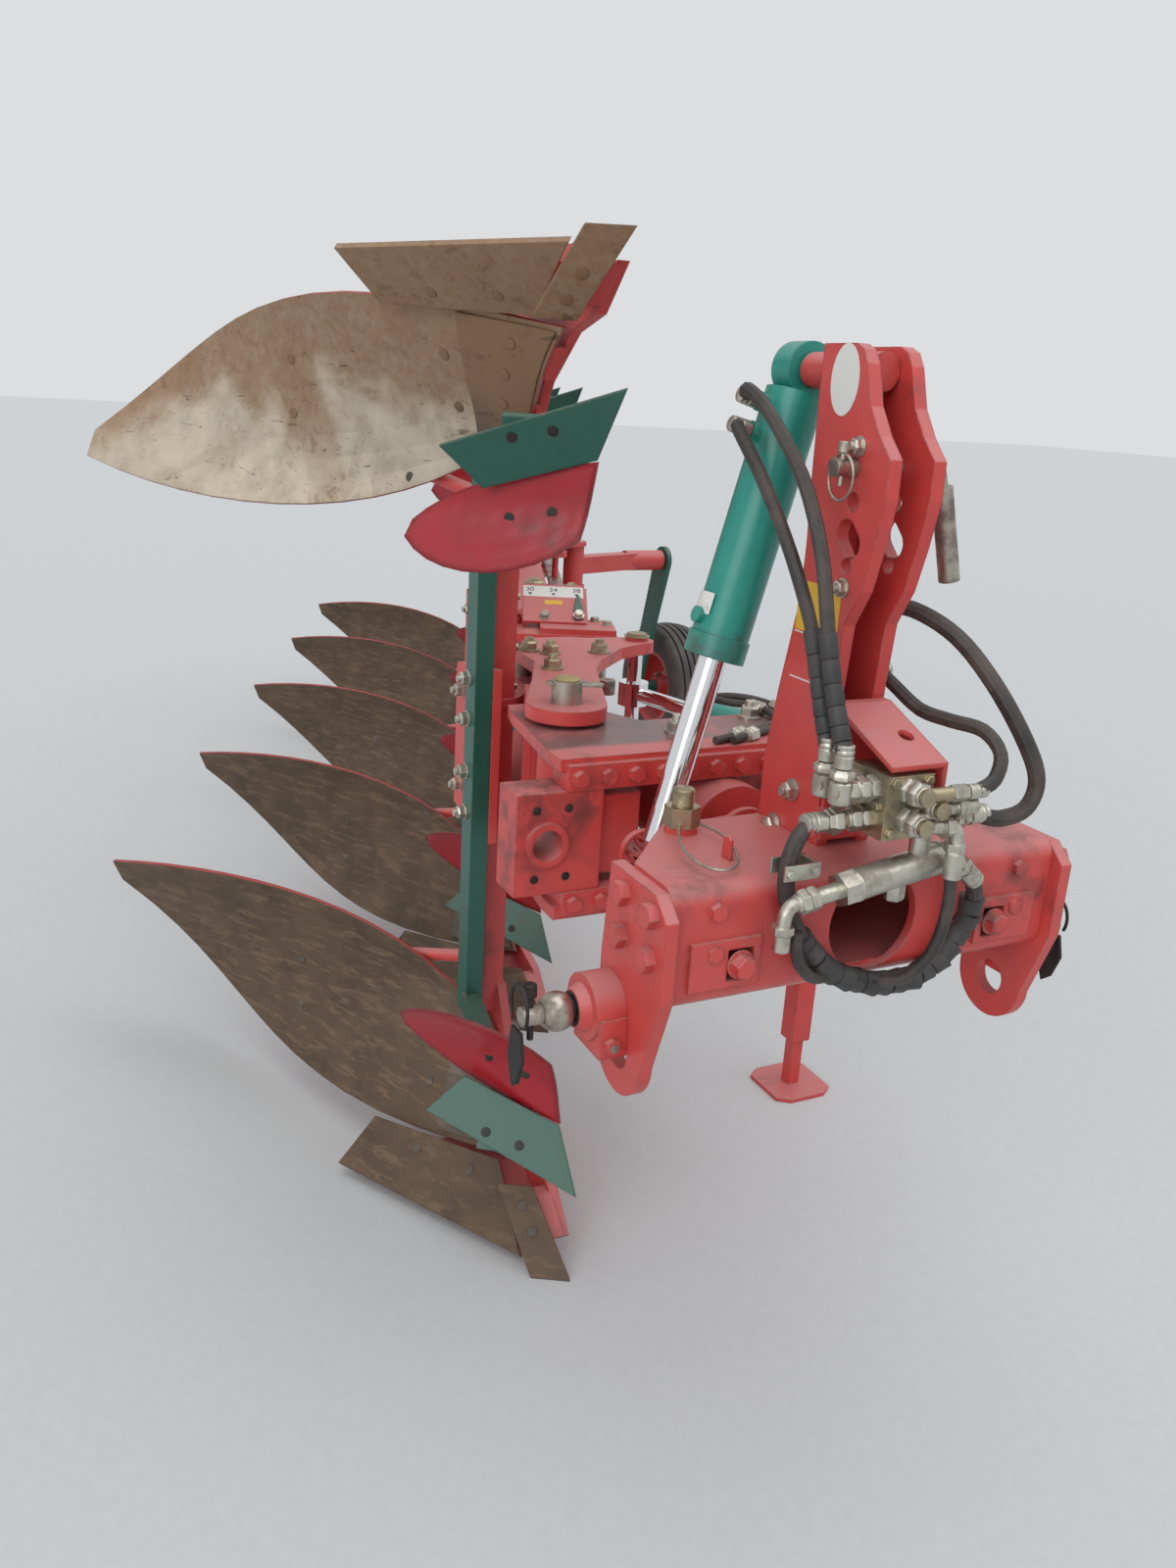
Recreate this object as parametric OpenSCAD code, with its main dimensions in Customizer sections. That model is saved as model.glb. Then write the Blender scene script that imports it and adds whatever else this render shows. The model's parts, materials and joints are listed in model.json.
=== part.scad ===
// Five-furrow reversible mouldboard plough for a three-point linkage.
// Origin at the middle of the cross shaft, +X forward to the tractor, +Y left, +Z up.

/* [Hitch] */
// Height of the turnover axis above the cross shaft
axis_h = 120; // [115:1:125]
// Distance between the lower-link ball centres
hitch_spread = 870; // [860:5:890]
// Diameter of the lower-link pins
hitch_pin_d = 28; // [22:1:32]
// Diameter of the lower-link balls
ball_d = 56; // [50:1:60]
// Width of the lower-link balls
ball_w = 45; // [38:1:48]
// Diameter of the cross shaft
cross_d = 44; // [38:1:48]
// Outer diameter of the shaft clamps
clamp_d = 96; // [88:2:104]
// Diameter of the lashing hole in each end plate
ring_hole_d = 56; // [40:1:60]

/* [Headstock box] */
// Front face of the box ahead of the cross shaft
box_front = 110; // [105:1:118]
// Rear face of the box behind the cross shaft
box_rear = 130; // [125:1:135]
// Top face of the box above the turnover axis
box_top = 85; // [82:1:90]
// Bottom face of the box below the turnover axis
box_bottom = 90; // [86:1:96]
// Width of the box at its front
box_w = 660; // [640:5:680]
// Width of the box at its rear
box_rear_w = 430; // [420:5:450]
// Wall of the box
box_wall = 14; // [10:1:16]
// Radius of the long front edges
box_edge_r = 28; // [24:1:34]
// Round hole in the front face
front_hole_d = 150; // [130:2:156]
// Thickness of the end plates
end_t = 20; // [16:1:24]
// Outer diameter of the turnover bearing
bearing_d = 160; // [150:2:164]

/* [Mast] */
// Gap between the two mast plates
mast_gap = 52; // [48:1:56]
// Thickness of a mast plate
mast_t = 20; // [16:1:24]
// Height of the top-link pin above the turnover axis
top_pin_h = 612; // [600:2:620]
// Diameter of the top-link pin
top_pin_d = 25.4; // [22:0.1:28]
// Height of the turnover-cylinder pivot above the turnover axis
pivot_h = 735; // [730:1:745]
// Diameter of the turnover-cylinder pivot
pivot_d = 36; // [30:1:40]

/* [Turnover] */
// Diameter of the turnover shaft in its bearing
shaft_d = 100; // [90:2:110]
// Diameter of the neck behind the bearing
neck_d = 64; // [56:2:68]
// Length of the crank arm
crank_r = 190; // [180:2:194]
// Distance of the turnover cylinder behind the cross shaft
cyl_x = 200; // [198:1:202]
// Outer diameter of the cylinder barrel
barrel_d = 88; // [80:2:92]
// Diameter of the piston rod
rod_d = 44; // [36:1:50]
// Diameter of the eye at the end of the piston rod
rod_eye_d = 72; // [64:2:74]

/* [Turning frame] */
// Distance of the frame's front face behind the cross shaft
frame_x = 300; // [298:1:304]
// Width of the rail frame on each side of the axis
rail_half = 300; // [290:2:310]
// Height of the plates' inner faces above and below the axis
plate_z = 115; // [112:1:118]
// Thickness of the frame plates
plate_t = 22; // [18:1:24]
// Distance of the head pin behind the cross shaft
head_x = 530; // [525:1:535]
// Distance of the head pin to the right of the axis
head_y = 193; // [188:1:198]
// Diameter of the head pin
head_d = 54; // [48:1:60]
// Distance of the carriage bore to the right of the axis
carriage_y = 322; // [318:1:326]
// Diameter of the carriage bore
carriage_bore = 52; // [44:1:60]

/* [Beam] */
// Angle of the beam to the direction of travel
sweep = 21.4; // [21:0.1:22]
// Distance from the head pin to the first body
first_body = 720; // [716:1:726]
// Spacing of the bodies along the beam
body_pitch = 947; // [940:1:960]
// Width of the beam tube
beam_w = 100; // [90:2:104]
// Height of the beam tube
beam_h = 160; // [150:2:164]
// Wall of the beam tube
beam_wall = 10; // [6:1:14]
// Thickness of the head plates
head_t = 25; // [20:1:28]

/* [Bodies] */
// Depth of the share points below the turnover axis
ground = 920; // [915:1:925]
// Distance of the legs behind the cross shaft, first body
leg_x = 855; // [850:1:860]
// Distance of the legs to the right of the axis, first body
leg_y = 197; // [194:1:200]
// Thickness of a leg
leg_t = 44; // [36:1:46]
// Width of a leg
leg_w = 96; // [80:2:104]
// Diameter of the body pivot pins
body_pin_d = 40; // [34:1:44]
// Distance of the width rod from the beam's middle
rod_off = 112; // [108:1:118]
// Thickness of a mouldboard
board_t = 8; // [6:0.5:10]
// Hollow of a mouldboard between its edges
board_hollow = 34; // [20:2:40]
// Thickness of a share
share_t = 11; // [8:1:13]
// Thickness of a point
point_t = 20; // [16:1:24]
// Thickness of a skimmer board
skim_t = 6; // [5:0.5:8]
// Depth of the skimmer stalk along the direction of travel
stalk_x = 50; // [44:1:56]
// Width of the skimmer stalk
stalk_y = 36; // [30:1:40]

/* [Depth wheel] */
// Outer diameter of the tyre
tyre_d = 600; // [580:5:610]
// Width of the tyre
tyre_w = 195; // [180:5:210]
// Diameter of the rim
rim_d = 330; // [310:5:350]
// Diameter of the wheel axle
axle_d = 40; // [34:1:44]
// Distance of the wheel arm's pivot behind the cross shaft
arm_x = 3420; // [3410:5:3430]
// Distance of the wheel axle behind the arm's pivot
arm_back = 180; // [170:2:190]
// Distance of the wheel's middle plane to the left of the axis
wheel_y = 1780; // [1770:2:1790]

/* [Stand] */
// Outer width of the stand sleeve
sleeve_w = 50; // [46:1:54]
// Width of the stand bar
stand_w = 30; // [26:1:34]
// Size of the foot plate
foot_w = 156; // [140:2:170]

/* [Hidden] */
$fn = 48;

red = [0.72, 0.2, 0.19];
green = [0.13, 0.45, 0.36];
steel = [0.62, 0.6, 0.56];
worn = [0.5, 0.42, 0.32];
zinc = [0.72, 0.66, 0.48];
black = [0.09, 0.09, 0.09];

run_fit = 0.05;   // radial clearance of a turning fit
seat = 0.3;       // gap left where one piece lies on another
bodies = 5;

half_w = box_w / 2;
rear_half = box_rear_w / 2;
mast_in = mast_gap / 2;
mast_out = mast_in + mast_t;
lean = asin(crank_r / norm([crank_r, pivot_h]));
cyl_l = norm([crank_r, pivot_h]);
bearing_back = box_rear + 28;
bearing_front = box_rear - 30;
cheek_t = 12;
cheek_in = 24;
hub_front = 258;
beam_a = 180 - sweep;
frame_top = plate_z + plate_t;
head_z = frame_top + 8;
bracket_in = beam_h / 2 + 8;
bracket_t = 20;
step_x = body_pitch * cos(sweep);
step_y = body_pitch * sin(sweep);
body_x = -head_x - first_body * cos(sweep);
body_y = -head_y + first_body * sin(sweep);
pin_boss_d = body_pin_d + 24;
memory_pin = [595, -190];
memory_pin_d = 32;
lug = [-452, 352];
lug_d = 30;
lug_in = 42;
lug_out = 62;
memory_z = 50;
memory_at = [
  -head_x - memory_pin[0] * cos(sweep) - memory_pin[1] * sin(sweep),
  -head_y + memory_pin[0] * sin(sweep) - memory_pin[1] * cos(sweep)
];
memory_v = memory_at - lug;
memory_l = norm(memory_v);
memory_a = atan2(memory_v[1], memory_v[0]);
wheel_x = arm_x + arm_back;
arm_face = wheel_y - 176;
wheel_z = tyre_d / 2 - ground;
stand_at = [-811, 609];
head_h = head_z + head_t;
port_at = [-62, -104];
port_end = barrel_d / 2 + 14;

// Places everything that is measured from the turnover axis
module at_axis() {
  translate([0, 0, axis_h]) children();
}

// Places a piece along the beam, X pointing backward along it, Y to its right
module at_beam(along = 0) {
  translate([-head_x, -head_y, 0]) rotate([0, 0, beam_a]) translate([along, 0, 0]) children();
}

// Places a piece of body k, drawn where body 1 stands
module at_body(k) {
  translate([-(k - 1) * step_x, (k - 1) * step_y, axis_h]) children();
}

// Draws a piece and its twin below the turnover axis
module both_ways() {
  children();
  mirror([0, 0, 1]) children();
}

// Draws a piece and its twin on the other side of the middle plane
module both_sides() {
  children();
  mirror([0, 1, 0]) children();
}

// Outline of a link: two round ends and their outer tangents
module link(p, rp, q, rq) {
  d = q - p;
  a = atan2(d[1], d[0]);
  b = acos((rp - rq) / norm(d));
  translate(p) circle(rp);
  translate(q) circle(rq);
  polygon([
    p + rp * [cos(a + b), sin(a + b)], q + rq * [cos(a + b), sin(a + b)],
    q + rq * [cos(a - b), sin(a - b)], p + rp * [cos(a - b), sin(a - b)]
  ]);
}

// Upright plate in the plane of travel, from an outline of [x, height] points
module plate_y(y0, y1) {
  translate([0, y1, 0]) rotate([90, 0, 0]) linear_extrude(y1 - y0) children();
}

// Cylinder along X from x0 to x1
module rod_x(x0, x1, d) {
  translate([x0, 0, 0]) rotate([0, 90, 0]) cylinder(h = x1 - x0, d = d);
}

// Cylinder along Y from y0 to y1
module rod_y(y0, y1, d) {
  translate([0, y1, 0]) rotate([90, 0, 0]) cylinder(h = y1 - y0, d = d);
}

// Box given by its two far corners
module block(p, q) {
  translate(p) cube(q - p);
}

// Round bar between two points
module bar(p, q, d) {
  v = q - p;
  translate(p) rotate([0, acos(v[2] / norm(v)), atan2(v[1], v[0])]) cylinder(h = norm(v), d = d);
}

// Hexagon bolt head lying on the plane x = 0, pointing along X
module bolt_x(d, h) {
  rotate([0, 90, 0]) cylinder(h = h, d = d, $fn = 6);
}

// Hexagon bolt head pointing along Y
module bolt_y(d, h) {
  rotate([-90, 0, 0]) cylinder(h = h, d = d, $fn = 6);
}

function bez(p, t) =
  let (u = 1 - t)
  u * u * u * p[0] + 3 * u * u * t * p[1] + 3 * u * t * t * p[2] + t * t * t * p[3];

function unit(v) = v / norm(v);

// Closed shell between two point grids of the same size, rows of points from v = 0 to v = 1
module shell(front, back) {
  nv = len(front);
  nu = len(front[0]);
  n = nv * nu;
  pts = concat([for (r = front) each r], [for (r = back) each r]);
  faces = concat(
    [for (j = [0 : nv - 2]) for (i = [0 : nu - 2]) let (a = j * nu + i) each
      [[a, a + nu + 1, a + nu], [a, a + 1, a + nu + 1]]],
    [for (j = [0 : nv - 2]) for (i = [0 : nu - 2]) let (a = n + j * nu + i) each
      [[a, a + nu, a + nu + 1], [a, a + nu + 1, a + 1]]],
    [for (i = [0 : nu - 2]) each [[i, n + i + 1, i + 1], [i, n + i, n + i + 1]]],
    [for (i = [0 : nu - 2]) let (a = (nv - 1) * nu + i) each
      [[a, a + 1, n + a + 1], [a, n + a + 1, n + a]]],
    [for (j = [0 : nv - 2]) let (a = j * nu) each
      [[a, a + nu, n + a + nu], [a, n + a + nu, n + a]]],
    [for (j = [0 : nv - 2]) let (a = j * nu + nu - 1) each
      [[a, n + a + nu, a + nu], [a, n + a, n + a + nu]]]
  );
  polyhedron(pts, faces);
}

// Round tube swept along a list of points
function tangent(p, i) = unit(p[min(i + 1, len(p) - 1)] - p[max(i - 1, 0)]);
function side(t) = unit(cross(t, abs(t[2]) < 0.9 ? [0, 0, 1] : [1, 0, 0]));
function frames(p, i = 0, last = undef) =
  i >= len(p) ? [] :
  let (t = tangent(p, i), s = is_undef(last) ? side(t) : unit(last - (last * t) * t))
  concat([[t, s]], frames(p, i + 1, s));
module tube(p, d, sides = 10) {
  f = frames(p);
  rings = [for (i = [0 : len(p) - 1]) let (s = f[i][1], w = cross(f[i][0], s))
    for (a = [0 : sides - 1]) p[i] + d / 2 * (cos(a * 360 / sides) * s + sin(a * 360 / sides) * w)];
  n = len(p);
  polyhedron(rings, concat(
    [for (i = [0 : n - 2]) for (a = [0 : sides - 1]) let (b = (a + 1) % sides) each
      [[i * sides + a, (i + 1) * sides + b, i * sides + b],
       [i * sides + a, (i + 1) * sides + a, (i + 1) * sides + b]]],
    [[for (a = [0 : sides - 1]) a]],
    [[for (a = [sides - 1 : -1 : 0]) (n - 1) * sides + a]]
  ));
}

// Smooth route through a list of points, with cuts pieces between each two
function smooth(p, cuts) = concat(
  [for (i = [0 : len(p) - 2]) for (k = [0 : cuts - 1])
    let (
      t = k / cuts,
      a = p[max(i - 1, 0)], b = p[i], c = p[i + 1], d = p[min(i + 2, len(p) - 1)]
    )
    0.5 * (2 * b + (c - a) * t + (2 * a - 5 * b + 4 * c - d) * t * t
      + (3 * b - 3 * c + d - a) * t * t * t)],
  [p[len(p) - 1]]
);

// Route with a straight piece at each end
function route(p, cuts) =
  concat([p[0]], smooth([for (i = [1 : len(p) - 2]) p[i]], cuts), [p[len(p) - 1]]);

// Headstock

module box_plan(inset) {
  polygon([
    [box_front - inset, half_w - inset], [0, half_w - inset],
    [-box_rear + inset, rear_half - inset], [-box_rear + inset, inset - rear_half],
    [0, inset - half_w], [box_front - inset, inset - half_w]
  ]);
}

module box_profile(inset) {
  r = box_edge_r - inset;
  tall = box_top + box_bottom - 2 * inset;
  long = box_front + box_rear - 2 * inset;
  translate([-box_rear + inset, -box_bottom + inset]) square([long - r, tall]);
  translate([-box_rear + inset, -box_bottom + inset + r]) square([long, tall - 2 * r]);
  for (z = [-box_bottom + inset + r, box_top - inset - r])
    translate([box_front - inset - r, z]) circle(r);
}

module box_solid(inset) {
  intersection() {
    translate([0, 0, -box_bottom - 5]) linear_extrude(box_top + box_bottom + 10) box_plan(inset);
    plate_y(-half_w - 5, half_w + 5) box_profile(inset);
  }
}

stop_at = [-93, 205];
stud_d = 30;

module headstock_box() {
  color(red) at_axis() difference() {
    union() {
      difference() {
        box_solid(0);
        box_solid(box_wall);
      }
      rod_x(-bearing_back, -bearing_front, bearing_d);
      for (s = [1, -1])
        translate([stop_at[0], s * stop_at[1], box_top]) cylinder(h = 10, d = 48);
      for (z = [50, -10]) for (s = [1, -1])
        translate([box_front, s * 262, z]) bolt_x(26, 9);
      block([box_front, -300, -62], [box_front + 6, -190, 8]);
      block([box_front, 190, -62], [box_front + 6, 300, 8]);
    }
    rod_x(-bearing_back - 1, -bearing_front + 1, shaft_d + 2 * run_fit);
    rod_x(box_front - box_wall - 1, box_front + 1, front_hole_d);
    for (s = [1, -1]) {
      translate([stop_at[0], s * stop_at[1], box_top - box_wall - 1])
        cylinder(h = box_wall + 12, d = stud_d + 2 * run_fit);
      block([box_front - box_wall - 1, s * 222 - 20, -52], [box_front + 7, s * 222 + 20, -6]);
    }
  }
}

// Shape of an end plate seen from the side
module end_shape() {
  difference() {
    union() {
      polygon([
        [-28, box_top - 5], [box_front - 12, box_top - 5], [box_front + 20, box_top - 34],
        [box_front + 20, -64], [91, -axis_h - 60], [-41, -axis_h - 60], [-41, -60]
      ]);
      translate([25, -axis_h - 60]) circle(ring_hole_d / 2 + 38);
    }
    translate([25, -axis_h - 60]) circle(d = ring_hole_d);
    translate([0, -axis_h]) circle(d = cross_d + 2 * run_fit);
  }
}

module end_plate(s) {
  color(red) at_axis() {
    plate_y(s > 0 ? half_w : -half_w - end_t, s > 0 ? half_w + end_t : -half_w) end_shape();
    for (x = [14, 94]) for (z = [50, -12])
      translate([x, s * (half_w + end_t), z]) mirror([0, s > 0 ? 0 : 1, 0]) bolt_y(36, 14);
  }
}

module end_plate_left() {
  end_plate(1);
}

module end_plate_right() {
  end_plate(-1);
}

clamp_in = half_w + end_t;
ball_in = hitch_spread / 2 - ball_w / 2;
clamp_foot = -57;
clamp_front = 52;

module hitch_clamps() {
  color(red) both_sides() difference() {
    union() {
      rod_y(clamp_in, clamp_in + 46, clamp_d);
      translate([0, ball_in - 1, 0]) rotate([90, 0, 0])
        cylinder(h = ball_in - clamp_in - 40, d1 = cross_d + 10, d2 = cross_d + 32);
      block([-28, clamp_in, clamp_foot], [clamp_front, clamp_in + 42, 0]);
      translate([clamp_front, clamp_in + 24, clamp_foot + 20]) bolt_x(24, 9);
    }
    rod_y(clamp_in - 1, ball_in + 1, cross_d + 2 * run_fit);
  }
}

pin_end = hitch_spread / 2 + ball_w / 2 + 30;

module cross_shaft() {
  color(steel) both_sides() {
    rod_y(0, ball_in - seat, cross_d);
    rod_y(0, pin_end, hitch_pin_d);
  }
}

module hitch_balls() {
  color(steel) both_sides() translate([0, hitch_spread / 2, 0]) rotate([90, 0, 0]) rotate_extrude()
    intersection() {
      circle(d = ball_d, $fn = 64);
      translate([hitch_pin_d / 2 + run_fit, -ball_w / 2]) square([ball_d, ball_w]);
    }
}

top_hole = [5, top_pin_h];

module mast_shape() {
  difference() {
    polygon([
      [20, box_top], [12, 200], [16, 317], [23, 406], [50, top_pin_h - 157],
      [66, top_pin_h - 97], [78, top_pin_h - 36], [77, top_pin_h + 15], [50, pivot_h - 80],
      [25, pivot_h - 44], [8, pivot_h + 8], [-4, pivot_h + 26], [-20, pivot_h + 33],
      [-90, pivot_h + 33], [-90, pivot_h - 30], [-87, 593], [-82, 504], [-83, 425],
      [-112, 287], [-box_rear, 179], [-box_rear, box_top]
    ]);
    translate(top_hole) circle(d = top_pin_d + 2 * run_fit);
    translate([10, top_pin_h - 44]) circle(d = top_pin_d);
    link([4, top_pin_h - 86], 20, [16, top_pin_h - 98], 20);
    translate([12, top_pin_h - 128]) circle(d = 22);
  }
}

module mast_plate_left() {
  color(red) at_axis() plate_y(mast_in, mast_out) mast_shape();
}

module mast_plate_right() {
  color(red) at_axis() plate_y(-mast_out, -mast_in) mast_shape();
}

web_x = -78;
web_t = 16;
collar_t = 12;
eye_half = 22;

module mast_core() {
  color(red) at_axis() {
    block([web_x, -mast_in, box_top], [web_x + web_t, mast_in, pivot_h - 20]);
    translate([0, 0, pivot_h]) {
      rod_x(-96, -14, mast_gap - 1);
      rod_x(-cyl_x - eye_half - 6 - collar_t, -90, pivot_d);
      rod_x(-cyl_x - eye_half - 6 - collar_t, -cyl_x - eye_half - 6, pivot_d + 20);
      rod_x(-cyl_x + eye_half + 6, -90, pivot_d + 14);
    }
  }
}

module top_link_pin() {
  color(steel) at_axis() translate([top_hole[0], 0, top_hole[1]]) mirror([0, 1, 0]) {
    rod_y(-mast_in, mast_in, top_pin_d);
    rod_y(-mast_out - 26, mast_out + 34, top_pin_d - 0.2);
    rod_y(-mast_out - 34, -mast_out - 4, top_pin_d + 12);
    rod_y(-mast_out - 52, -mast_out - 30, 20);
    bar([0, -mast_out - 50, 4], [0, -mast_out - 62, -30], 20);
    bar([0, -mast_out - 61, -22], [0, -mast_out - 98, -150], 30);
  }
}

module stop_screws() {
  color(zinc) at_axis() both_sides() translate([stop_at[0], stop_at[1], 0]) {
    translate([0, 0, box_top - box_wall]) cylinder(h = box_wall + 66, d = stud_d);
    translate([0, 0, box_top + 10 + seat]) cylinder(h = 30, d = 54, $fn = 6);
  }
}

block_x = 86;
block_l = 82;
block_z = 146;
block_tall = 88;
block_y = [-56, 20];

port_y = -122;
loop_start = [130, 168];
pair_x = [104, 140];
pair_y = -110;
pair_z = 242;
arc_end = [150, 104, 162];
pair_port = 212;
front_ports = [[-20, 174], [-24, 216], [4, 196]];
return_start = [200, 48, 216];

module valve_block() {
  color(zinc) at_axis() {
    block([block_x, block_y[0], block_z], [block_x + block_l, block_y[1], block_z + block_tall]);
    for (p = front_ports) translate([block_x + block_l, p[0], p[1]]) rod_x(-1, 44, 24);
    translate([loop_start[0], 0, loop_start[1]]) rod_y(port_y, block_y[0] + 1, 24);
    for (x = pair_x) translate([x, 0, pair_port]) {
      rod_y(port_y, block_y[0] + 1, 24);
      translate([0, pair_y, 0]) cylinder(h = pair_z - pair_port, d = 22);
    }
    translate([arc_end[0], 0, arc_end[2]]) rod_y(block_y[1] - 1, arc_end[1] - seat, 24);
    translate([return_start[0], 0, return_start[2]]) rod_y(front_ports[1][0], return_start[1] - seat, 20);
  }
}

cover_y = [-52, 42];
cover_top = 300;
cover_front = 166;
cover_low = block_z + block_tall + 6;

// Bent hood over the valves, with the shelf that carries them
module valve_cover() {
  color(red) at_axis() {
    block([20 + seat, -mast_out, 96], [28, cover_y[1], cover_top - 8]);
    block([20 + seat, cover_y[0], block_z - 8 - seat], [block_x + 40, block_y[1], block_z - seat]);
    difference() {
      plate_y(cover_y[0], cover_y[1])
        polygon([
          [20 + seat, cover_top - 8], [34, cover_top - 8], [cover_front, cover_low], [cover_front, cover_low + 7],
          [36, cover_top], [20 + seat, cover_top]
        ]);
      translate([108, 14, cover_low]) cylinder(h = 60, d = 22);
    }
    plate_y(cover_y[1] - 6, cover_y[1])
      polygon([
        [20 + seat, block_z + 30], [120, block_z + 50], [cover_front, block_z + 60],
        [cover_front, cover_low + 4], [36, cover_top - 4], [20 + seat, cover_top - 4]
      ]);
  }
}

pilot_at = [160, -88, 84];
pilot_tilt = 9.5;

module pilot_valve() {
  color(steel) at_axis() {
    translate([pilot_at[0], pilot_at[1], pilot_at[2]]) rotate([pilot_tilt, 0, 0]) {
      rod_y(0, 152, 44);
      translate([0, -22, 0]) rotate([0, 90, 90]) cylinder(h = 24, d = 50, $fn = 6);
      rod_y(-58, -20, 24);
      rod_y(150, 176, 28);
      bar([0, 164, 0], [0, 190, -30], 24);
    }
    translate([pilot_at[0], 18, pilot_at[2] + 16]) cylinder(h = block_z - seat - pilot_at[2] - 16, d = 28);
  }
}

// Hoses, routes in round numbers
loop_points = [
  [loop_start[0], port_y - seat, loop_start[1]], [130, -136, 168], [129, -160, 150], [127, -171, 104],
  [125, -161, 50], [125, -134, 0], [125, -88, -50], [125, -30, -80], [125, 35, -94], [126, 92, -84],
  [128, 132, -50], [134, 150, -6], [146, 146, 40], [160, 118.5, 74.1], [160, 104.6, 85.6]
];
arc_points = [
  [-40, mast_out + seat, 420], [-40, 62, 420], [-12, 102, 418], [50, 132, 390], [110, 156, 335],
  [150, 190, 262], [164, 210, 208], [166, 196, 168], [158, 158, 154], [150, 120, 162], arc_end
];
return_points = [
  return_start, [200, 66, 216], [198, 96, 228], [184, 114, 258], [150, 110, 282], [100, 96, 284],
  [50, 84, 288], [0, 74, 312], [-24, 62, 330], [-24, mast_out + seat, 330]
];
port_dir = [0, -cos(lean), sin(lean)];
pair_top = [for (z = port_at)
  [-cyl_x, port_end * port_dir[1] + z * sin(lean), pivot_h + port_end * port_dir[2] + z * cos(lean)]];
pair_points = [
  concat([pair_top[0] + seat * port_dir, pair_top[0] + 20 * port_dir],
    [[-172, -110, 704], [-133, -112, 690], [-93, -112, 664], [-23, -110, 602], [22, -110, 542],
     [52, -110, 481], [75, -110, 407], [98, -110, 344], [122, -110, 294], [140, -110, 260],
     [pair_x[1], pair_y, pair_z + seat]]),
  concat([pair_top[1] + seat * port_dir, pair_top[1] + 20 * port_dir],
    [[-180, -114, 651], [-150, -113, 624], [-118, -111, 594], [-61, -110, 535], [-10, -110, 476],
     [40, -110, 405], [66, -110, 345], [86, -110, 297], [104, -110, 260],
     [pair_x[0], pair_y, pair_z + seat]])
];

module hose_loop() {
  color(black) at_axis() tube(route(loop_points, 4), 24, 10);
}

module hose_arc() {
  color(black) at_axis() {
    tube(route(arc_points, 5), 24, 10);
    tube(route(return_points, 4), 20, 8);
  }
}

module cylinder_hoses() {
  color(black) at_axis() {
    for (points = pair_points) tube(route(points, 4), 20, 8);
  }
}

// Turning frame

bar_back = 60;

module crank_cheek() {
  rotate([0, 90, 0]) linear_extrude(cheek_t) {
    circle(r = neck_d / 2 + 24);
    translate([0, -crank_r]) circle(r = rod_eye_d / 2 + 2);
    polygon([[-48, 0], [48, 0], [31, -crank_r], [-31, -crank_r]]);
  }
}

module turnover_shaft() {
  color(green) at_axis() difference() {
    union() {
      rod_x(-bearing_back - 2, -bearing_front + 12, shaft_d);
      rod_x(-bearing_front + seat, -bearing_front + 24, shaft_d + 36);
      rod_x(-hub_front - 10, -bearing_back + 10, neck_d);
      for (x = [-cyl_x + cheek_in, -cyl_x - cheek_in - cheek_t])
        translate([x, 0, 0]) crank_cheek();
      for (x = [-cyl_x + cheek_in + 4, -cyl_x - cheek_in - cheek_t - 8])
        translate([x, -crank_r, 0]) rod_x(0, 16, 50);
    }
    rod_x(-hub_front - 30, -bearing_front + 40, neck_d - 20);
  }
}

hub_back = 470;

module rail_plan() {
  difference() {
    polygon([
      [-frame_x - 12, -rail_half], [-frame_x - 12, rail_half], [-hub_back - 20, rail_half],
      [-head_x + 30, -head_y + 133], [-head_x - 70, -head_y + 83],
      [-head_x - 126, -head_y + 13], [-head_x - 126, -rail_half + 50],
      [-head_x - 75, -rail_half + 36], [-frame_x - bar_back, -rail_half]
    ]);
    translate([-head_x, -head_y]) circle(d = head_d + 2 * run_fit);
  }
}

hub_d = 168;

// The two plates with the bars that guide the carriage
module rail_plates() {
  color(red) at_axis() both_ways() {
    translate([0, 0, plate_z]) linear_extrude(plate_t) rail_plan();
    block([-frame_x - 12, -rail_half + 10, plate_z - 29], [-frame_x, rail_half, plate_z + 13]);
    block([-frame_x - bar_back, -rail_half + 10, plate_z - 29], [-frame_x - 12, rail_half, plate_z + 1]);
    for (i = [0 : 10])
      translate([-frame_x - 1, -271 + 50 * i, plate_z - 8]) bolt_x(27, 12);
  }
}

core_z = plate_z - seat;
core_front = -frame_x - bar_back - seat;

// Bearing tube, head pin tube and the webs between the plates
module rail_core() {
  color(red) at_axis() difference() {
    union() {
      rod_x(-hub_back, -hub_front, hub_d);
      block([-hub_back, -40, -core_z], [-hub_back + 30, rail_half, core_z]);
      block([-hub_back + 10, rail_half - 22, -core_z], [core_front, rail_half, core_z]);
      block([core_front - 52, -40, -core_z], [core_front - 30, 40, core_z]);
      translate([-head_x, -head_y, -core_z]) cylinder(h = 2 * core_z, d = head_d + 40);
      block([-head_x + 30, -head_y - 18, -core_z], [core_front - 30, -head_y + 18, core_z]);
      translate([0, 0, memory_z]) both_ways() translate([0, 0, lug_in]) linear_extrude(lug_out - lug_in)
        link([-frame_x - 110, rail_half - 30], 40, lug, 36);
    }
    rod_x(-hub_back - 1, -hub_front + 20, neck_d - 20);
    rod_x(-hub_front - 12, -hub_front + 1, neck_d + 2 * run_fit);
    translate([-head_x, -head_y, -core_z - 1]) cylinder(h = 2 * core_z + 2, d = head_d + 2 * run_fit);
    translate([lug[0], lug[1], memory_z - lug_out - 8]) cylinder(h = 2 * lug_out + 16, d = lug_d);
  }
}

carriage_z = plate_z - 29 - seat;

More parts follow.
